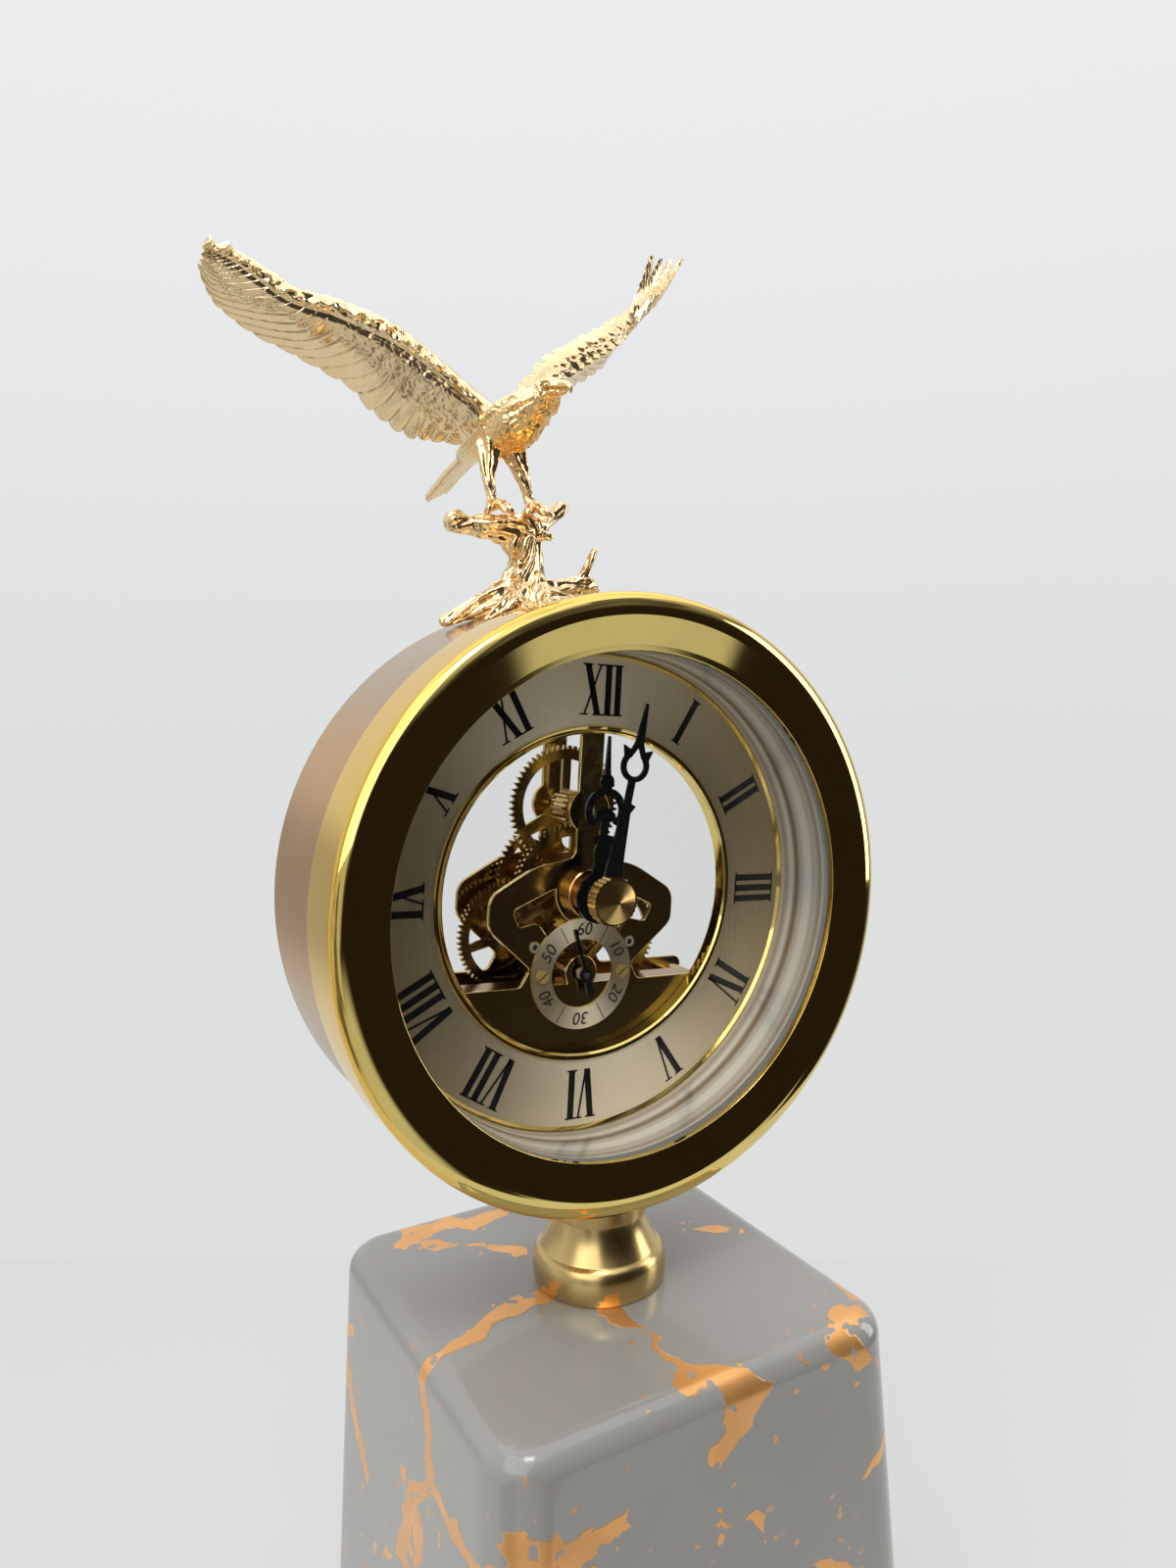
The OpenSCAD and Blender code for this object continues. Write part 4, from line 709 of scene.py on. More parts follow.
class CLOCK_OT_plinth(bpy.types.Operator):
    """Builds the glazed plinth as a rounded square shell"""
    bl_idname = "clock.plinth"
    bl_label = "Plinth"

    def execute(self, context):
        shape = context.scene.clock_shape
        low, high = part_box("ceramic_base")
        top, foot, roll, wall, bend_radius = (getattr(shape, "plinth_" + n)
                                              for n in ("top", "foot", "roll", "wall", "corner"))
        bend = np.linspace(0, math.pi / 2, 14)
        rise = np.linspace(0, 1, 26)
        across = np.linspace(0, 1, 16)[1:]
        hole, edge = 0.0045, 0.0012
        inset = roll * (1 - np.cos(bend))
        tuck = edge * (1 - np.cos(bend[::-1]))
        # The outline runs up the outside, over the rolled edge to the hole, and back inside; half is each
        # loop's half width, corner its corner radius
        half = [foot / 2 - tuck, foot / 2 + (top - foot) / 2 * rise[1:-1], top / 2 - inset,
                top / 2 - roll + (hole - top / 2 + roll) * across, np.full(3, hole),
                hole + (top / 2 - wall - hole) * across, (top + (foot - top) * rise[1:]) / 2 - wall]
        corner = [bend_radius - tuck, np.full(24, bend_radius), bend_radius - inset,
                  bend_radius - roll + (hole - bend_radius + roll) * across, np.full(3, hole),
                  hole + (bend_radius - wall - hole) * across, np.full(25, bend_radius - wall)]
        height = [low.z + edge * (1 - np.sin(bend)),
                  low.z + edge + (high.z - roll - low.z - edge) * rise[1:-1],
                  high.z - roll + roll * np.sin(bend), np.full(15, high.z),
                  high.z - wall * np.array((0.1, 0.5, 0.9)), np.full(15, high.z - wall),
                  high.z - wall + (low.z - high.z + wall) * rise[1:]]
        loops = square_loops(np.concatenate(half), np.concatenate(corner))
        level = np.concatenate(height)[:, None] * np.ones(loops.shape[1])
        piece = closed_piece("plinth_shell", np.concatenate((loops, level[..., None]), -1))
        finish_piece(piece, "stand", look("ceramic_glaze"), "ceramic_glaze", "ceramic_base")
        return {"FINISHED"}


# Shares of the collar foot's radius and height, from its bottom to its crease
BARREL = ((0.945, 0), (0.97, 0.06), (0.994, 0.25), (1, 0.47), (0.985, 0.7), (0.95, 0.88), (0.9, 0.98),
          (0.885, 1))


class CLOCK_OT_turned_parts(bpy.types.Operator):
    """Turns the bezel, the drum and the collar as smooth rings"""
    bl_idname = "clock.turned_parts"
    bl_label = "Turned parts"

    def execute(self, context):
        shape = context.scene.clock_shape
        self.bezel(shape)
        self.drum(shape)
        self.collar(shape)
        return {"FINISHED"}

    def bezel(self, shape):
        """Rounded rim, face that falls to the lip, then the bore and the back."""
        low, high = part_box("bezel")
        rim, front, back = BEZEL_RADIUS, low.y, high.y
        bend = np.linspace(0, math.pi / 2, 24)
        round_edge = np.stack((rim - shape.rim_width * (1 - np.cos(bend)),
                               front + shape.rim_depth * (1 - np.sin(bend))), -1)
        lip = front + shape.face_fall
        rest = blended(((*round_edge[-1], 0), (shape.sight + shape.lip, lip - shape.lip / 4, BROKEN_EDGE),
                        (shape.sight, lip, BROKEN_EDGE), (shape.sight, lip + shape.lip, BROKEN_EDGE),
                        (shape.bore, lip + shape.lip, BROKEN_EDGE), (shape.bore, back, BROKEN_EDGE),
                        (rim, back, 0.0005), (*round_edge[0], 0)), True)
        flat = round_edge[-1] + (rest[0] - round_edge[-1]) * np.array((0.01, 0.5))[:, None]
        piece = turned("bezel_ring", np.concatenate((round_edge, flat, rest)), AXIS, 1)
        finish_piece(piece, "stand", look("polished_gold"), "polished_gold", "bezel")

    def drum(self, shape):
        """Plain wall with broken edges."""
        low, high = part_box("case_drum")
        inner = DRUM_RADIUS - shape.drum_wall
        outline = blended(((DRUM_RADIUS, low.y, BROKEN_EDGE), (inner, low.y, BROKEN_EDGE),
                           (inner, high.y, 0.0003), (DRUM_RADIUS, high.y, 0.0006)))
        piece = turned("drum_shell", outline, AXIS, 1)
        finish_piece(piece, "stand", look("champagne"), "champagne", "case_drum")

    def collar(self, shape):
        """Barrel foot, a taper that starts at a crease, and a straight neck with a hole through it."""
        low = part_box("neck_collar")[0]
        barrel = along(BARREL, np.linspace(0, 1, 44)) * (shape.foot_radius, shape.foot_height)
        crease, waist = barrel[-1, 0], shape.neck_radius * 0.94
        t = np.linspace(0.02, 1, 30)
        taper = np.stack((waist + (crease - waist) * (1 - t) ** 1.7,
                          shape.foot_height + (shape.neck_start - shape.foot_height) * t), -1)
        hole, end = 0.004, DRUM_LOW + 0.0013 - low.z
        neck = blended(((*taper[-1], 0), (shape.neck_radius, shape.neck_start + 0.0002, 0.00015),
                        (shape.neck_radius, end, BROKEN_EDGE), (hole, end, BROKEN_EDGE),
                        (hole, 0, BROKEN_EDGE), (*barrel[0], 0)), True)
        outline = np.concatenate((barrel, taper, neck)) + (0, low.z)
        piece = turned("collar_turned", outline, (0, 0, 0), 2, 240)
        finish_piece(piece, "stand", look("satin_brass"), "satin_brass", "neck_collar")


class CLOCK_OT_movement_plates(bpy.types.Operator):
    """Rounds the edges of the two movement plates, so that they catch the light"""
    bl_idname = "clock.movement_plates"
    bl_label = "Movement plates"

    def execute(self, context):
        width = context.scene.clock_shape.plate_round
        same_place, same_plane, corner = 1e-6, math.radians(0.5), math.radians(50)
        for node in ("front_plate", "back_plate"):
            mesh = bmesh.new()
            mesh.from_mesh(frame["nodes"][node].data)
            bmesh.ops.remove_doubles(mesh, verts=mesh.verts, dist=same_place)
            bmesh.ops.dissolve_limit(mesh, angle_limit=same_plane, verts=mesh.verts, edges=mesh.edges)
            sharp = [edge for edge in mesh.edges if edge.calc_face_angle(0) > corner]
            for face in mesh.faces:
                face.smooth = False
            for face in bmesh.ops.bevel(mesh, geom=sharp, offset=width, segments=3, profile=0.5,
                                        affect="EDGES")["faces"]:
                face.smooth = True
            data = bpy.data.meshes.new(node + "_rounded")
            mesh.to_mesh(data)
            mesh.free()
            data.materials.clear()
            piece = add_object(node + "_rounded", data)
            finish_piece(piece, "stand", look("mirror_brass"), "polished_gold", node)
        return {"FINISHED"}


class CLOCK_OT_hour_numerals(bpy.types.Operator):
    """Prints the Roman hour numerals on the dial ring"""
    bl_idname = "clock.hour_numerals"
    bl_label = "Hour numerals"

    def execute(self, context):
        dial = context.scene.clock_dial
        words = ["XII", "I", "II", "III", "IV", "V", "VI", "VII", "VIII", "IX", "X", "XI"]
        quads = []
        for hour, word in enumerate(words):
            flat = roman_strokes(word, dial.numeral_height, dial.stem, dial.hairline)
            quads.append(dial_place(flat[..., 0], flat[..., 1] + dial.numeral_foot, DIAL_TURN + HOUR * hour,
                                    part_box("chapter_ring")[0].y - dial.print_height, AXIS))
        points, faces = plates(np.concatenate(quads), dial.print_height * 0.9)
        piece = add_mesh("hour_numerals", points, faces, False)
        finish_piece(piece, "stand", paint_plain("numeral_ink", srgb(16, 15, 15), 0.3, 900, 0.000005),
                     "black_hands")
        return {"FINISHED"}


class CLOCK_OT_seconds_marks(bpy.types.Operator):
    """Prints the figures and dividing lines on the small seconds dial, and paints shade in the slots of its
    two screws
    """
    bl_idname = "clock.seconds_marks"
    bl_label = "Seconds figures"

    def execute(self, context):
        dial = context.scene.clock_dial
        rim = half_width("seconds_dial")
        hole = rim * 0.62
        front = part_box("seconds_dial")[0].y - dial.print_height
        points, faces, start = [], [], 0
        for second in range(0, 60, 10):
            flat, triangles = flat_text(str(second or 60), dial.digit_size)
            points.append(dial_place(flat[:, 0], flat[:, 1] + (rim + hole) / 2, DIAL_TURN + SECOND * second,
                                     front - flat[:, 2], SECONDS_AXIS))
            faces.append(triangles + start)
            start += len(flat)
        figures = add_mesh("seconds_figures", np.concatenate(points), np.concatenate(faces), False)
        # This dark ink serves the figures and lines, and also the painted shade in the screws' slots
        ink = paint_plain("figure_ink", srgb(40, 36, 32), 0.4, 900, 0.000005)
        finish_piece(figures, "stand", ink, "black_hands")
        line = np.array(stroke((0, hole * 1.04), (0, rim * 0.98), dial.mark_width))
        bars = [dial_place(line[:, 0], line[:, 1], DIAL_TURN + SECOND * second, front, SECONDS_AXIS)
                for second in (5, 25, 35, 55)]
        # The bars in the screws' slots are painted shade
        points, faces = plates(np.array(bars + self.screw_slots(dial)), dial.print_height * 0.9)
        marks = add_mesh("seconds_lines", points, faces, False)
        finish_piece(marks, "stand", ink, "black_hands")
        return {"FINISHED"}

    def screw_slots(self, dial):
        """Dark bars of painted shade in the slots of the two screws, which lean to the right."""
        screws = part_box("seconds_dial_screws")
        reach = (half_width("seconds_dial_screws") - dial.screw_head) / math.cos(DIAL_TURN)
        lean = math.radians(50)
        end = dial.screw_head * 0.97
        slot = np.array(stroke((0, -end), (0, end), dial.screw_slot))
        across = slot[:, 0] * math.cos(lean) + slot[:, 1] * math.sin(lean)
        height = slot[:, 1] * math.cos(lean) - slot[:, 0] * math.sin(lean)
        return [dial_place(across + side * reach, height, DIAL_TURN, screws[0].y + dial.print_height,
                           SECONDS_AXIS) for side in (-1, 1)]


# The sculpture: shares of the bird's height, the stump's height or the wing span, from the perch

def stump_frame(stump_height):
    """Seat of the stump on the drum and the perch on top of it, with the stump's three directions."""
    side, back, out = np.array(((math.cos(STUMP_TURN), 0, -math.sin(STUMP_TURN)), (0, 1, 0),
                                (math.sin(STUMP_TURN), 0, math.cos(STUMP_TURN))))
    seat = AXIS + out * DRUM_RADIUS + back * STUMP_BACK
    return seat, seat + out * stump_height, np.array((side, back, out))


def tube(path, radii, rings, sides, wide=1.0, flutes=0, flute=0.0, twist=0.0, seed=0.0):
    """Closed tube: circles carried along a smooth path, ends closed by half spheres. wide stretches them
    sideways; flutes ridges of height flute, a share of the radius, wind round it by twist turns."""
    cap = np.linspace(-1, 0, 6)[:-1]
    share = np.concatenate((cap, np.linspace(0, 1, rings), 1 - cap[::-1]))
    inner = np.clip(share, 0, 1)
    past = share - inner
    centre = along(path, inner)
    radius = along(np.asarray(radii, float)[:, None], inner)[:, 0]
    step = 1e-3
    ahead = unit(along(path, np.minimum(inner + step, 1)) - along(path, np.maximum(inner - step, 0)))
    centre = centre + ahead * (past * radius)[:, None]
    reference = np.eye(3)[np.argmin(np.abs(ahead).max(0))]
    first = unit(np.cross(ahead, reference))
    second = np.cross(ahead, first)
    radius = radius * np.sqrt(np.maximum(1 - past ** 2, 1e-4))
    angle = np.arange(sides) * 2 * math.pi / sides
    wave = np.cos(flutes * (angle[None] + twist * 2 * math.pi * share[:, None])
                  + 2.1 * np.sin(5 * share[:, None] + seed) + seed)
    sway = 0.4 * np.sin(3 * angle[None] + 9 * share[:, None] + seed)
    reach = radius[:, None] * (1 + flute * (wave - 0.3 + sway))
    return (centre[:, None] + reach[..., None] * (wide * np.cos(angle)[None, :, None] * first[:, None]
                                                  + np.sin(angle)[None, :, None] * second[:, None]))


def ball(centre, radii, rings, sides):
    """Egg shape: half circles turned round the upright direction, stretched to three radii."""
    pole = 0.001
    down = np.linspace(pole, math.pi - pole, rings)[:, None]
    turn = np.arange(sides)[None] * 2 * math.pi / sides
    points = np.stack((np.sin(down) * np.cos(turn), np.sin(down) * np.sin(turn),
                       np.cos(down) * np.ones_like(turn)), -1)
    return np.asarray(centre) + points * np.asarray(radii)


def joined(shapes):
    """Points and quads of several grids, each closed round and capped by its narrow ends."""
    points, faces, start = [], [], 0
    for shape in shapes:
        rows, columns = shape.shape[:2]
        faces.append(grid_faces(rows, columns, close_columns=True, start=start))
        points.append(shape.reshape(-1, 3))
        start += rows * columns
    return np.concatenate(points), np.concatenate(faces)


def skin(name, shapes, voxel, soften):
    """One closed skin round overlapping closed shapes: a voxel remesh, then a few smoothing steps."""
    rough = add_mesh(name + "_rough", *joined(shapes))
    first = rough.data
    remesh = rough.modifiers.new("skin", "REMESH")
    remesh.mode = "VOXEL"
    remesh.voxel_size = voxel
    smooth = rough.modifiers.new("soften", "SMOOTH")
    smooth.factor = 0.5
    smooth.iterations = soften
    mesh = settled(rough)
    bpy.data.meshes.remove(first)
    mesh.name = name
    mesh.polygons.foreach_set("use_smooth", np.ones(len(mesh.polygons), bool))
    return add_object(name, mesh)


def corners(piece):
    """Places and outward directions of a mesh's points."""
    return read(piece.data.vertices, "co"), read(piece.data.vertices, "normal")


def reshape(piece, places, relief):
    """Puts new places into a mesh and keeps its relief, 0 in grooves and 1 on crests, as an attribute."""
    piece.data.vertices.foreach_set("co", np.ascontiguousarray(places).ravel())
    keep_value(piece, "relief", relief)
    piece.data.update()


def keep_value(piece, name, values):
    """Stores a value from 0 to 1 for each point, for the paint to read."""
    layer = piece.data.attributes.new(name, "FLOAT", "POINT")
    layer.data.foreach_set("value", np.ascontiguousarray(np.clip(values, 0, 1), np.float32).ravel())


def weld(piece):
    """Joins points that lie on one another, so that poles and tips are closed."""
    mesh = bmesh.new()
    mesh.from_mesh(piece.data)
    bmesh.ops.remove_doubles(mesh, verts=mesh.verts, dist=1e-7)
    mesh.to_mesh(piece.data)
    mesh.free()


def bell(value, middle, width):
    """Bell curve: 1 at the middle, about a third at one width from it."""
    return np.exp(-((value - middle) / width) ** 2)


def ramp(value, start, width):
    """Straight rise from 0 at start to 1 one width further on; a negative width rises the other way."""
    return np.clip((value - start) / width, 0, 1)


def ripple(places, scale, seed):
    """Smooth wandering value from -1 to 1: the mean of waves in seeded directions."""
    count = 7
    rng = np.random.default_rng(seed)
    directions = rng.normal(size=(count, 3))
    phase = rng.uniform(0, WAVE, count)
    waves = np.sin(places @ (unit(directions) * rng.uniform(0.6, 1.4, (count, 1))).T / scale * WAVE + phase)
    return np.clip(waves.sum(-1) / math.sqrt(count), -1, 1)


def scales(row, column, point=1.0):
    """Overlapping feathers: two sets of tongues half a step apart, each rising to its rounded tip."""
    height = np.zeros(np.broadcast(row, column).shape)
    for shift in (0, 1):
        a = np.mod(row + shift, 2)
        b = np.mod(column + 0.5 * shift, 1) - 0.5
        inside = a < 2 - 3.4 * point * b * b
        tongue = (0.25 + 0.375 * a) * (1 - 1.6 * b * b) - 0.10 * bell(b, 0, 0.07)
        height = np.maximum(height, np.where(inside, tongue, 0))
    return height


# Each wing's leading and trailing edge from root to tip, in shares of the span from the perch: right,
# back and up. side is 1 on the right wing; notch parts the tip in fingers; crest is the height of the ridge
# behind the leading edge.
WINGS = {
    "eagle_right_wing": dict(
        lead=((-0.02, 0.0, 0.18), (-0.09, 0.015, 0.24), (-0.15, 0.03, 0.289), (-0.203, 0.04, 0.32),
              (-0.283, 0.055, 0.346), (-0.355, 0.062, 0.358), (-0.411, 0.075, 0.392), (-0.45, 0.082, 0.41),
              (-0.494, 0.088, 0.412)),
        trail=((-0.02, 0.05, 0.12), (-0.09, 0.07, 0.135), (-0.14, 0.09, 0.145), (-0.192, 0.115, 0.178),
               (-0.25, 0.135, 0.236), (-0.333, 0.14, 0.272), (-0.42, 0.137, 0.307), (-0.474, 0.125, 0.343),
               (-0.498, 0.105, 0.387)),
        side=1, seed=11, notch=0.03, crest=0.0),
    "eagle_left_wing": dict(
        lead=((0.01, -0.01, 0.18), (0.08, 0.015, 0.264), (0.152, 0.045, 0.32), (0.222, 0.07, 0.361),
              (0.304, 0.095, 0.406), (0.377, 0.115, 0.448), (0.439, 0.135, 0.501), (0.488, 0.15, 0.568)),
        trail=((0.02, 0.04, 0.15), (0.117, 0.08, 0.25), (0.2, 0.11, 0.28), (0.272, 0.13, 0.326),
               (0.33, 0.145, 0.4), (0.364, 0.153, 0.461), (0.388, 0.157, 0.508), (0.412, 0.157, 0.565)),
        side=-1, seed=23, notch=0.10, crest=0.022),
}


def wing_surface(perch, span, feathers, lead, trail, side, seed, notch, crest):
    """Wing: a thin section from leading to trailing edge, carried along the span. t is the share of the
    span and v the share of the chord, first under and then over the wing. Long feathers fan from
    chordwise at the root to spanwise at the tip, and end in scallops; rows of scales cover the shoulder;
    the leading edge is a lumpy roll. b is the place across a feather. Heights are shares of the span."""
    rows, half = 360, 136
    t = np.linspace(0, 1, rows)[:, None]
    w = np.arange(2 * half)[None] / half
    under = (w < 1) * np.ones_like(t) > 0
    v = np.where(w < 1, w, 2 - w) ** 1.35 * np.ones_like(t)
    fan = 0.07 + 0.36 * t ** 1.4
    feather = (t - fan * v) * feathers / (1 - fan * 0.6)
    b = np.mod(feather, 1) - 0.5
    tip = np.sqrt(np.maximum(1 - (2 * b) ** 2, 0)) * (0.75 + 0.5 * np.mod(np.floor(feather) * 0.618, 1))

    # The thin middle surface, with its camber, scallops and fingers
    finger = np.abs(np.sin(math.pi * (v * 3.4 + 0.3)))
    reach = t * (1 - notch * (1 - finger) * ramp(t, 0.84, 0.16) ** 1.3)
    front, rear = along(lead, reach), along(trail, reach)
    chord = unit(rear - front)
    spanwise = along(lead, np.minimum(reach + 0.02, 1)) - along(lead, np.maximum(reach - 0.02, 0))
    up = unit(np.cross(spanwise, chord)) * side
    scallop = 0.0105 * (0.5 + 0.9 * bell(t, 0.38, 0.16)) * (tip - 0.3) * v ** 10
    roll = bell(v, 0, 0.085)
    knobs = (1.1 * bell(t, 0.965, 0.02) + 0.8 * bell(t, 0.895, 0.024)) * (side > 0)
    base = front + (rear - front) * v[..., None] + chord * (scallop - 0.011 * knobs * roll)[..., None]
    base = base + up * (0.012 * np.sin(math.pi * v))[..., None]
    places = perch + base * span

    # The carving: long feathers with barbs and splits, and the scales that cover them
    wander = ripple(places, 0.006, seed)
    cover = 0.9 * np.maximum(1 - t / 0.56, 0) ** 0.6 + 0.05 + 0.08 * ripple(places, 0.009, seed + 2)
    barbs = np.sin(WAVE * (v * 26 + np.abs(b) * 5.0 + wander)) * 0.05
    split = bell(b + 0.12 * wander, 0, 0.03) * (0.5 + 0.5 * wander)
    long_feather = 0.66 + 0.18 * b - 0.42 * bell(np.abs(b), 0.5, 0.055) - 0.22 * split + barbs
    row = v * 12 / (1.15 - 0.45 * t) + 0.45 * wander
    column = t * 30 + 0.35 * ripple(places, 0.005, seed + 3)
    covert = 0.42 + 0.5 * scales(row, column, 0.8)
    mask = 1 / (1 + np.exp((v - cover - 0.03 * np.sin(column * 3.14)) / 0.02))
    relief = long_feather * (1 - mask) + covert * mask + 0.14 * ripple(places, 0.0028, seed + 4)

    # Both skins, as far from the middle surface as the section and the carving say
    lumps = ripple(np.stack((t * np.ones_like(v), v * 0.4, under * 0.02), -1), 0.036, seed + 5)
    section = 0.5 * (np.sin(math.pi * v ** 0.42) * 0.021 * (1.45 - t) + 0.0050)
    thick = section * (1 + roll * (0.25 + 0.70 * lumps + 1.8 * knobs) - 0.30 * bell(v, 0.17, 0.04))
    depth = (relief - 0.6) * 0.0034 * ramp(v, 0, 0.04) * ramp(t, 1, -0.03) ** 0.5
    ridge = np.exp(-((v - 0.22) / 0.14) ** 2 - ((t - 0.33) / 0.22) ** 4) * (1 - under)
    depth = depth + crest * ridge * (0.75 + 0.3 * np.abs(np.sin(math.pi * t * 22)))
    places = places + up * (np.where(under, -1.0, 1.0) * (thick + depth) * span)[..., None]

    # The root closes to a point, and the tip's two skins to one line
    places[0] = places[0].mean(0)
    places[-1] = (places[-1] + np.roll(places[-1][::-1], 1, 0)) / 2
    return places, relief


# The bird in shares of its height from the perch: right, back and up
BACKBONE = ((-0.21, 0.40, 0.56), (-0.14, 0.22, 0.64), (-0.04, 0.04, 0.70), (0.04, -0.14, 0.78),
            (0.10, -0.30, 0.87), (0.15, -0.43, 0.95), (0.19, -0.57, 0.98))
LEGS = (((-0.13, 0.06, 0.66), (-0.17, 0.02, 0.50), (-0.205, -0.03, 0.30), (-0.19, -0.09, 0.06)),
        ((0.02, 0.0, 0.66), (0.06, -0.02, 0.50), (0.12, -0.06, 0.28), (0.17, -0.1, 0.05)))
TOES = ((-0.10, -0.13, -0.035), (0.01, -0.17, -0.045), (0.10, -0.12, -0.05), (0.0, 0.12, -0.04))


def body_shapes(h):
    """Tubes and balls that make the bird of height h without its wings, in metres from the perch."""

    def limb(path, radii, *rest):
        return tube(np.array(path) * h, np.array(radii) * h, *rest)

    trunk = limb(BACKBONE[:-1], (0.09, 0.15, 0.21, 0.225, 0.165, 0.115), 50, 40)
    head = ball(np.array((0.175, -0.50, 0.975)) * h, np.array((0.095, 0.13, 0.088)) * h, 24, 30)
    upper_beak = limb(((0.19, -0.56, 0.98), (0.212, -0.66, 0.968), (0.224, -0.725, 0.94),
                       (0.222, -0.735, 0.892)), (0.06, 0.043, 0.027, 0.008), 24, 20)
    lower_beak = limb(((0.185, -0.55, 0.935), (0.21, -0.64, 0.925), (0.217, -0.685, 0.922)),
                      (0.045, 0.028, 0.014), 14, 16)
    shapes = [trunk, head, upper_beak, lower_beak]
    for side in (-1, 1):
        brow = ((0.165 + side * 0.07, -0.46, 1.02), (0.185 + side * 0.078, -0.53, 1.012),
                (0.205 + side * 0.045, -0.60, 0.995))
        neck = ((0.165 + side * 0.06, -0.46, 0.945), (0.125 + side * 0.11, -0.34, 0.90),
                (0.07 + side * 0.15, -0.18, 0.835), (0.0 + side * 0.19, 0.0, 0.76))
        shapes += [limb(brow, (0.02, 0.027, 0.014), 12, 12),
                   limb(neck, (0.055, 0.085, 0.105, 0.09), 30, 28, 1.0, 5, 0.12, 0.3, 2.0 + side)]
    for seed, leg in enumerate(LEGS, 1):
        shapes.append(limb(leg, (0.13, 0.105, 0.055, 0.045), 30, 24, 1.0, 6, 0.16, 0.4, seed))
        foot = np.array(leg[-1])
        for x, y, z in TOES:
            knuckle, claw = (x * 0.5, y * 0.5, 0.012), (x * 1.25, y * 1.25, z - 0.035)
            toe = (foot, foot + knuckle, foot + (x, y, z), foot + claw)
            shapes.append(limb(toe, (0.045, 0.04, 0.033, 0.008), 18, 12))
    for k in range(9):
        f = (k - 4) / 4
        root = np.array((-0.17 + 0.05 * f, 0.36, 0.57 - 0.012 * abs(f)))
        end = np.array((-0.25 + 0.09 * f, 1.10 - 0.07 * abs(f) ** 1.5, 0.315 + 0.045 * f + 0.012 * (k % 2)))
        middle = (root + end) / 2 + (0.0, 0.0, 0.02)
        shapes.append(limb((root, middle, end), (0.022, 0.026, 0.024), 24, 16, 2.1, 2, 0.05, 0, k))
    return shapes


# Trunk, roots, branches and twigs of the stump: the path in shares of its height from the seat (right,
# back and up), the radii along it, how many ridges of bark run along it and how high they are
STUMP_LIMBS = (
    (((0.02, 0, 0.04), (0.07, 0, 0.28), (0.12, 0, 0.52), (0.08, 0, 0.72), (0.09, 0, 0.80)),
     (0.36, 0.24, 0.18, 0.21, 0.20), 9, 0.16),
    (((0.0, 0, 0.16), (-0.25, 0.05, 0.14), (-0.52, 0.12, 0.08), (-0.86, 0.2, -0.02)),
     (0.22, 0.15, 0.11, 0.06), 6, 0.2),
    (((0.1, 0, 0.18), (0.34, 0.0, 0.13), (0.56, 0.0, 0.15), (0.84, -0.04, 0.15)),
     (0.22, 0.13, 0.10, 0.08), 6, 0.2),
    (((0.0, -0.1, 0.14), (-0.2, -0.2, 0.10), (-0.38, -0.27, 0.03), (-0.60, -0.36, -0.06)),
     (0.18, 0.12, 0.09, 0.05), 5, 0.2),
    (((0.05, -0.1, 0.16), (0.10, -0.28, 0.10), (0.04, -0.42, 0.03), (0.06, -0.54, -0.03)),
     (0.16, 0.10, 0.07, 0.05), 5, 0.2),
    (((0.1, -0.1, 0.16), (0.26, -0.24, 0.08), (0.40, -0.30, 0.03), (0.52, -0.34, -0.02)),
     (0.15, 0.09, 0.07, 0.04), 5, 0.2),
    (((-0.05, -0.05, 0.26), (-0.18, -0.20, 0.16), (-0.14, -0.36, 0.05), (-0.26, -0.46, -0.02)),
     (0.09, 0.06, 0.05, 0.04), 4, 0.2),
    (((0.0, 0.1, 0.14), (0.1, 0.3, 0.08), (0.3, 0.44, -0.02)), (0.2, 0.13, 0.06), 5, 0.2),
    (((-0.05, 0.1, 0.14), (-0.2, 0.28, 0.06), (-0.36, 0.42, -0.03)), (0.16, 0.10, 0.05), 5, 0.2),
    (((0.05, 0, 0.80), (-0.2, 0.0, 0.86), (-0.42, 0.03, 0.93), (-0.62, 0.04, 0.99)),
     (0.17, 0.12, 0.10, 0.125), 6, 0.14),
    (((-0.44, 0.0, 0.94), (-0.24, -0.1, 0.91), (0.0, -0.11, 0.88), (0.21, -0.1, 0.84)),
     (0.09, 0.10, 0.12, 0.12), 5, 0.12),
    (((0.16, 0, 0.80), (0.36, 0.02, 0.86), (0.50, 0.06, 0.92), (0.70, 0.1, 1.02)),
     (0.17, 0.10, 0.08, 0.085), 6, 0.14),
    (((0.6, 0, 0.16), (0.74, -0.03, 0.22), (0.83, -0.08, 0.36), (0.94, -0.12, 0.52)),
     (0.10, 0.07, 0.05, 0.035), 4, 0.15),
    (((0.70, -0.02, 0.18), (0.86, -0.05, 0.14), (0.92, -0.06, 0.08)), (0.09, 0.08, 0.04), 4, 0.15),
    (((0.22, -0.05, 0.76), (0.30, -0.14, 0.74), (0.34, -0.18, 0.72)), (0.07, 0.06, 0.045), 4, 0.15),
    (((-0.02, -0.1, 0.44), (-0.08, -0.18, 0.40), (-0.10, -0.22, 0.36)), (0.07, 0.05, 0.04), 4, 0.15),
)


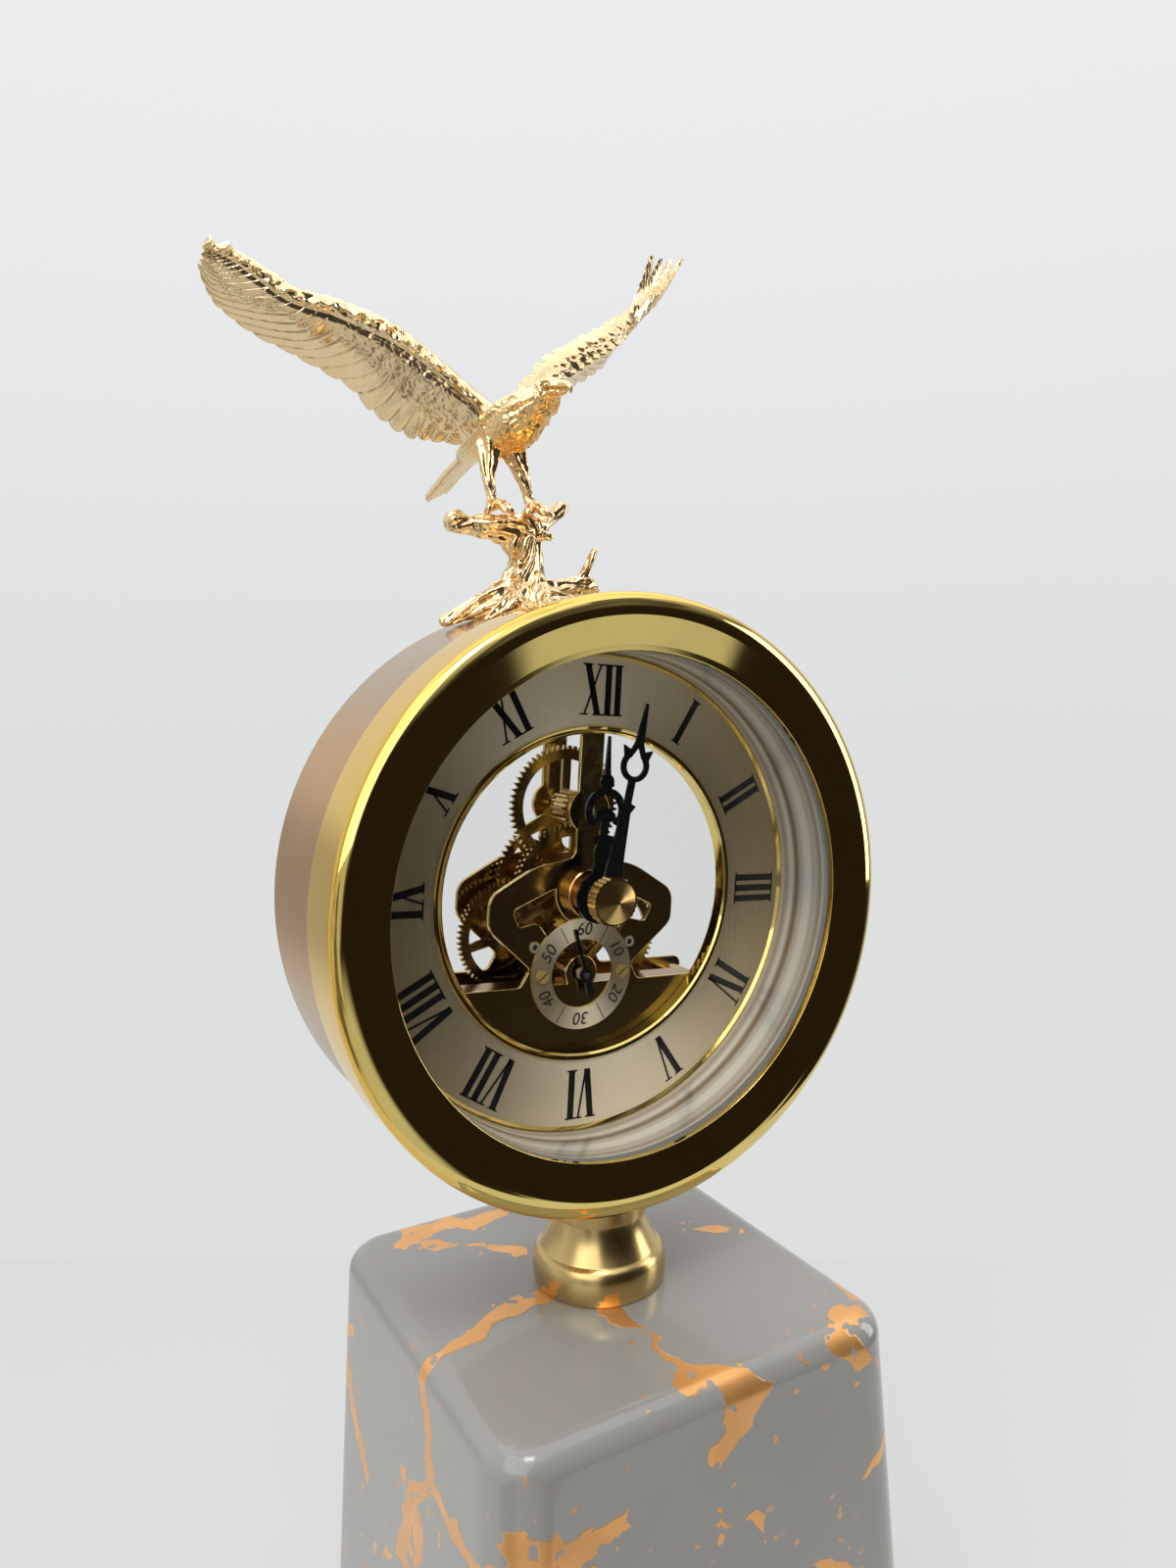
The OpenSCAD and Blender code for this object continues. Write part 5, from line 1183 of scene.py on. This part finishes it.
class CLOCK_OT_tree_stump(bpy.types.Operator):
    """Builds the gnarled stump with its roots and branches"""
    bl_idname = "clock.tree_stump"
    bl_label = "Tree stump"

    def execute(self, context):
        sizes = context.scene.clock_sculpture
        seat, _, directions = stump_frame(sizes.stump_height)
        shapes = []
        for k, (path, radii, flutes, flute) in enumerate(STUMP_LIMBS):
            path = np.array(path) * sizes.stump_height @ directions + seat
            shapes.append(tube(path, np.array(radii) * sizes.stump_height, 60, 48, 1.0, flutes, flute,
                               0.25 if k % 2 else -0.3, k * 1.7))
        piece = skin("stump_casting", shapes, sizes.voxel, 6)
        places, normals = corners(piece)
        bark = (ripple(places * (1.0, 1.0, 0.4), 0.0032, 3) * 0.5
                + ripple(places * (1, 1, 0.6), 0.0055, 8) * 0.5)
        relief, depth, clearance = 0.72 + 0.45 * bark, 0.00034, 0.0001
        places = places + normals * (bark * depth)[:, None]
        spot = places - AXIS
        lift = np.maximum(DRUM_RADIUS + clearance - np.hypot(spot[:, 0], spot[:, 2]), 0)
        places = places + unit(spot * (1, 0, 1)) * lift[:, None]
        reshape(piece, places, relief)
        finish_piece(piece, "stand", look("gilt_casting"), "gilt_casting", "tree_stump")
        return {"FINISHED"}


class CLOCK_OT_eagle_body(bpy.types.Operator):
    """Builds the bird's body, head, legs and tail with carved feathers"""
    bl_idname = "clock.eagle_body"
    bl_label = "Eagle body"

    def execute(self, context):
        sizes = context.scene.clock_sculpture
        h = sizes.bird_height
        perch = stump_frame(sizes.stump_height)[1]
        piece = skin("eagle_casting", [shape + perch for shape in body_shapes(h)], sizes.voxel * 0.8, 4)
        places, normals = corners(piece)
        spot = (places - perch) / h
        plumage, distance = self.plumage(places, perch, h)
        face = ramp(spot[:, 1], -0.50, -0.05)
        tail = ramp(spot[:, 1], 0.36, 0.1)
        on_body = ramp(distance / h, 0.27, -0.03) * ramp(spot[:, 2], 0.50, 0.05) * (1 - face)
        fine = ripple(places * (1, 1, 0.35), 0.0012, 4)
        grain = ripple(places, 0.0009, 5)
        relief = on_body * (0.25 + 0.8 * plumage + 0.05 * grain) + (1 - on_body) * (0.7 + 0.3 * fine)
        depth = (on_body * ((plumage - 0.5) * 0.00055 + grain * 0.00002)
                 + (1 - on_body - face * 0.8) * fine * (0.00008 - 0.00006 * tail))
        carve, shade = self.head_marks(spot)
        reshape(piece, places + normals * (depth + carve * h)[:, None], relief * shade)
        # Painted reflection: faces that look down, towards the front, get the warm tint of gold reflected in
        # gold
        down = ramp(corners(piece)[1][:, 2], 0.35, -1.1)
        keep_value(piece, "warm", down ** 2 * (3 - 2 * down) * ramp(spot[:, 1], 0.30, -0.2))
        finish_piece(piece, "stand", look("gilt_body"), "gilt_casting", "eagle_body")
        return {"FINISHED"}

    def plumage(self, places, perch, h):
        """Scales in rows along the backbone and columns round it, and each point's distance from it."""
        line = along(BACKBONE, np.linspace(0, 1, 160)) * h + perch
        ahead = unit(np.gradient(line, axis=0))
        nearest = np.argmin(((places[:, None] - line[None, ::4]) ** 2).sum(-1), 1) * 4
        away, ahead = places - line[nearest], ahead[nearest]
        run = np.concatenate(((0,), np.cumsum(np.linalg.norm(np.diff(line, axis=0), axis=1))))[nearest]
        run = run + (away * ahead).sum(-1)
        side = unit(np.cross(ahead, (0, 0, 1)))
        over = np.cross(side, ahead)
        angle = np.arctan2((away * side).sum(-1), (away * over).sum(-1))
        row_height, full_turn, columns = 0.075, 6.2832, 15
        row = -run / (row_height * h) + 0.4 * ripple(places, 0.0045, 6)
        column = angle / full_turn * columns + 0.3 * ripple(places, 0.005, 9)
        return scales(row, column), np.linalg.norm(away, axis=1)

    def head_marks(self, spot):
        """Eyes sunk in rings under the brow, and the mouth line that runs along both sides of the beak."""
        carve, shade = np.zeros(len(spot)), np.ones(len(spot))
        for side in (-1, 1):
            eye = np.linalg.norm(spot - (0.183 + side * 0.085, -0.535, 0.985), axis=1)
            carve += 0.018 * (bell(eye, 0, 0.017) - bell(eye, 0.033, 0.012))
            shade *= 1 - bell(eye, 0.031, 0.015)
        mouth = bell(spot[:, 2], 0.948 + (spot[:, 1] + 0.55) * 0.12, 0.013)
        mouth = mouth * ramp(spot[:, 1], -0.505, -0.03) * ramp(spot[:, 1], -0.72, 0.02)
        return carve - 0.018 * mouth, shade * (1 - 0.9 * mouth)


class CLOCK_OT_eagle_wings(bpy.types.Operator):
    """Builds both raised wings with their carved feathers"""
    bl_idname = "clock.eagle_wings"
    bl_label = "Eagle wings"

    def execute(self, context):
        sizes = context.scene.clock_sculpture
        perch = stump_frame(sizes.stump_height)[1]
        for name, wing in WINGS.items():
            places, relief = wing_surface(perch, sizes.span, sizes.feathers, **wing)
            faces = grid_faces(*places.shape[:2], close_columns=True)
            if wing["side"] > 0:
                faces = faces[:, ::-1]
            piece = add_mesh(name + "_casting", places, faces)
            keep_value(piece, "relief", relief)
            weld(piece)
            finish_piece(piece, "stand", look("gilt_casting"), "gilt_casting", name)
        return {"FINISHED"}


# Place, size and share of the lamp power
LAMPS = (("spark_lamp", (-0.25, -0.5, 1.25), (0.3, 0.3), 0.35),
         ("window_lamp", (-0.8, -0.6, 0.95), (1.1, 1.3), 1.1),
         ("top_lamp", (0.1, 0.1, 1.3), (1.7, 1.7), 1.0),
         ("right_lamp", (0.95, -0.35, 0.45), (0.35, 0.8), 0.45))


class CLOCK_OT_stage(bpy.types.Operator):
    """Sets up the floor, the room, the lamps and the camera"""
    bl_idname = "clock.stage"
    bl_label = "Stage"

    def execute(self, context):
        scene = context.scene
        stage = scene.clock_stage
        scene.view_settings.view_transform = "Standard"
        self.floor(stage, tuple(scene.clock_colours.table))
        self.world(scene)
        self.lamps(stage)
        self.camera(scene, stage)
        return {"FINISHED"}

    def floor(self, stage, tone):
        """Flat floor whose far edge is square to the camera's direction. Its paint is matt, and the camera,
        mirrors and glass see it partly as its own plain light."""
        away = np.array((math.sin(stage.table_turn), math.cos(stage.table_turn), 0))
        side = np.array((math.cos(stage.table_turn), -math.sin(stage.table_turn), 0))
        reach = stage.table_width / 2
        a, b = np.meshgrid(np.array((-stage.table_front, stage.table_depth)), np.array((-reach, reach)),
                           indexing="ij")
        floor = add_mesh("floor", a[..., None] * away + b[..., None] * side, ((0, 2, 3, 1),))
        paint = Paint("floor_paint")
        seen, mirror, through = (paint.node("ShaderNodeLightPath", out=f"Is {ray} Ray")
                                 for ray in ("Camera", "Glossy", "Transmission"))
        matt = paint.node("ShaderNodeBsdfDiffuse", None, {"Color": tone})
        plain = paint.node("ShaderNodeEmission", None, {"Color": tone, "Strength": 1.0})
        glow = seen.highest(mirror).highest(through) * 0.45
        both = paint.node("ShaderNodeMixShader", None, {0: glow, 1: matt, 2: plain})
        paint.node("ShaderNodeOutputMaterial", None, {"Surface": both})
        floor.data.materials.append(paint.material)

    def world(self, scene):
        """Room that is pale behind, above and beside the clock and dim on the camera's side, so that polished
        metal shows dark and light. The window and the sheet are two pale patches on that side."""
        scene.world = bpy.data.worlds.new("room")
        scene.world.use_nodes = True
        paint = Paint("room", scene.world.node_tree)
        x, y, z = paint.parts(paint.node("ShaderNodeTexCoord", out="Generated"))
        behind = y.smooth(-0.30, 0.30)
        above = z.smooth(0.35, 0.80)
        beside = (x * -1).smooth(0.38, 0.60)
        window = (x * 0.513 - y * 0.67 - z * 0.537).smooth(0.978, 0.985) * 0.85
        sheet = (x * -0.30 - y * 0.68 - z * 0.67).smooth(0.88, 0.965) * 0.85
        gaps = paint.noise(paint.vector(x, y, z), 3.2, 1, 0.5).smooth(0.50, 0.57)
        share = above.highest(beside) * 0.8 * (1 - gaps * 0.75)
        share = behind.highest(share).highest(window).highest(sheet)
        pale = paint.mix(z.smooth(-0.15, 0.55), srgb(222, 224, 224), srgb(236, 237, 239))
        dim = z.smooth(-0.40, -0.20) * z.smooth(0.16, 0.0) * (x * -1).smooth(-0.02, 0.12) * y.smooth(0.3, 0.6)
        shade = paint.mix(share * (1 - dim * 0.4), srgb(40, 33, 27), pale)
        light = paint.node("ShaderNodeLightPath", out="Is Camera Ray")
        shade = paint.mix(light, shade, pale)
        glow = paint.node("ShaderNodeBackground", None, {"Color": shade, "Strength": 1.0})
        paint.node("ShaderNodeOutputWorld", None, {"Surface": glow})

    def lamps(self, stage):
        """Soft lamps that all face the middle of the clock."""
        aim = np.array((0, 0, 0.2))
        for name, place, size, share in LAMPS:
            data = bpy.data.lights.new(name, "AREA")
            data.shape = "RECTANGLE"
            data.size, data.size_y = size
            data.energy = stage.lamp_power * share
            lamp = add_object(name, data)
            lamp.location = place
            lamp.rotation_euler = Vector(aim - np.array(place)).to_track_quat("-Z", "Y").to_euler()

    def camera(self, scene, stage):
        """Camera solved from the photograph: columns right, up and back."""
        data = bpy.data.cameras.new("camera")
        data.lens = stage.lens
        data.sensor_width = 36
        data.clip_start = 0.01
        view = Matrix(((0.86821, 0.06474, -0.49195), (-0.49595, 0.08219, -0.86445),
                       (-0.01553, 0.99451, 0.10347))).to_4x4()
        view.translation = stage.camera_place
        camera = add_object("camera", data)
        camera.matrix_world = view
        scene.camera = camera


class CLOCK_PT_panel(bpy.types.Panel):
    """Lists the clock's steps in the sidebar"""
    bl_label = "Clock"
    bl_idname = "CLOCK_PT_panel"
    bl_space_type = "VIEW_3D"
    bl_region_type = "UI"
    bl_category = "Clock"

    def draw(self, context):
        for place, kind in GROUPS.items():
            box = self.layout.box()
            for name in kind.__annotations__:
                box.prop(getattr(context.scene, place), name)
        for step in STEPS:
            self.layout.operator(step.bl_idname)


GROUPS = {"clock_shape": ClockShape, "clock_dial": ClockDial, "clock_colours": ClockColours,
          "clock_sculpture": ClockSculpture, "clock_stage": ClockStage}
STEPS = (CLOCK_OT_node_finishes, CLOCK_OT_plinth, CLOCK_OT_turned_parts, CLOCK_OT_movement_plates,
         CLOCK_OT_hour_numerals, CLOCK_OT_seconds_marks, CLOCK_OT_tree_stump, CLOCK_OT_eagle_body,
         CLOCK_OT_eagle_wings, CLOCK_OT_stage)


def register():
    for kind in (*GROUPS.values(), *STEPS, CLOCK_PT_panel):
        bpy.utils.register_class(kind)
    for place, kind in GROUPS.items():
        setattr(bpy.types.Scene, place, PointerProperty(type=kind))


def unregister():
    for place in GROUPS:
        delattr(bpy.types.Scene, place)
    for kind in reversed((*GROUPS.values(), *STEPS, CLOCK_PT_panel)):
        bpy.utils.unregister_class(kind)


def main():
    register()
    bpy.ops.clock.node_finishes()
    bpy.ops.clock.plinth()
    bpy.ops.clock.turned_parts()
    bpy.ops.clock.movement_plates()
    bpy.ops.clock.hour_numerals()
    bpy.ops.clock.seconds_marks()
    bpy.ops.clock.tree_stump()
    bpy.ops.clock.eagle_body()
    bpy.ops.clock.eagle_wings()
    bpy.ops.clock.stage()


if __name__ == "__main__":
    main()
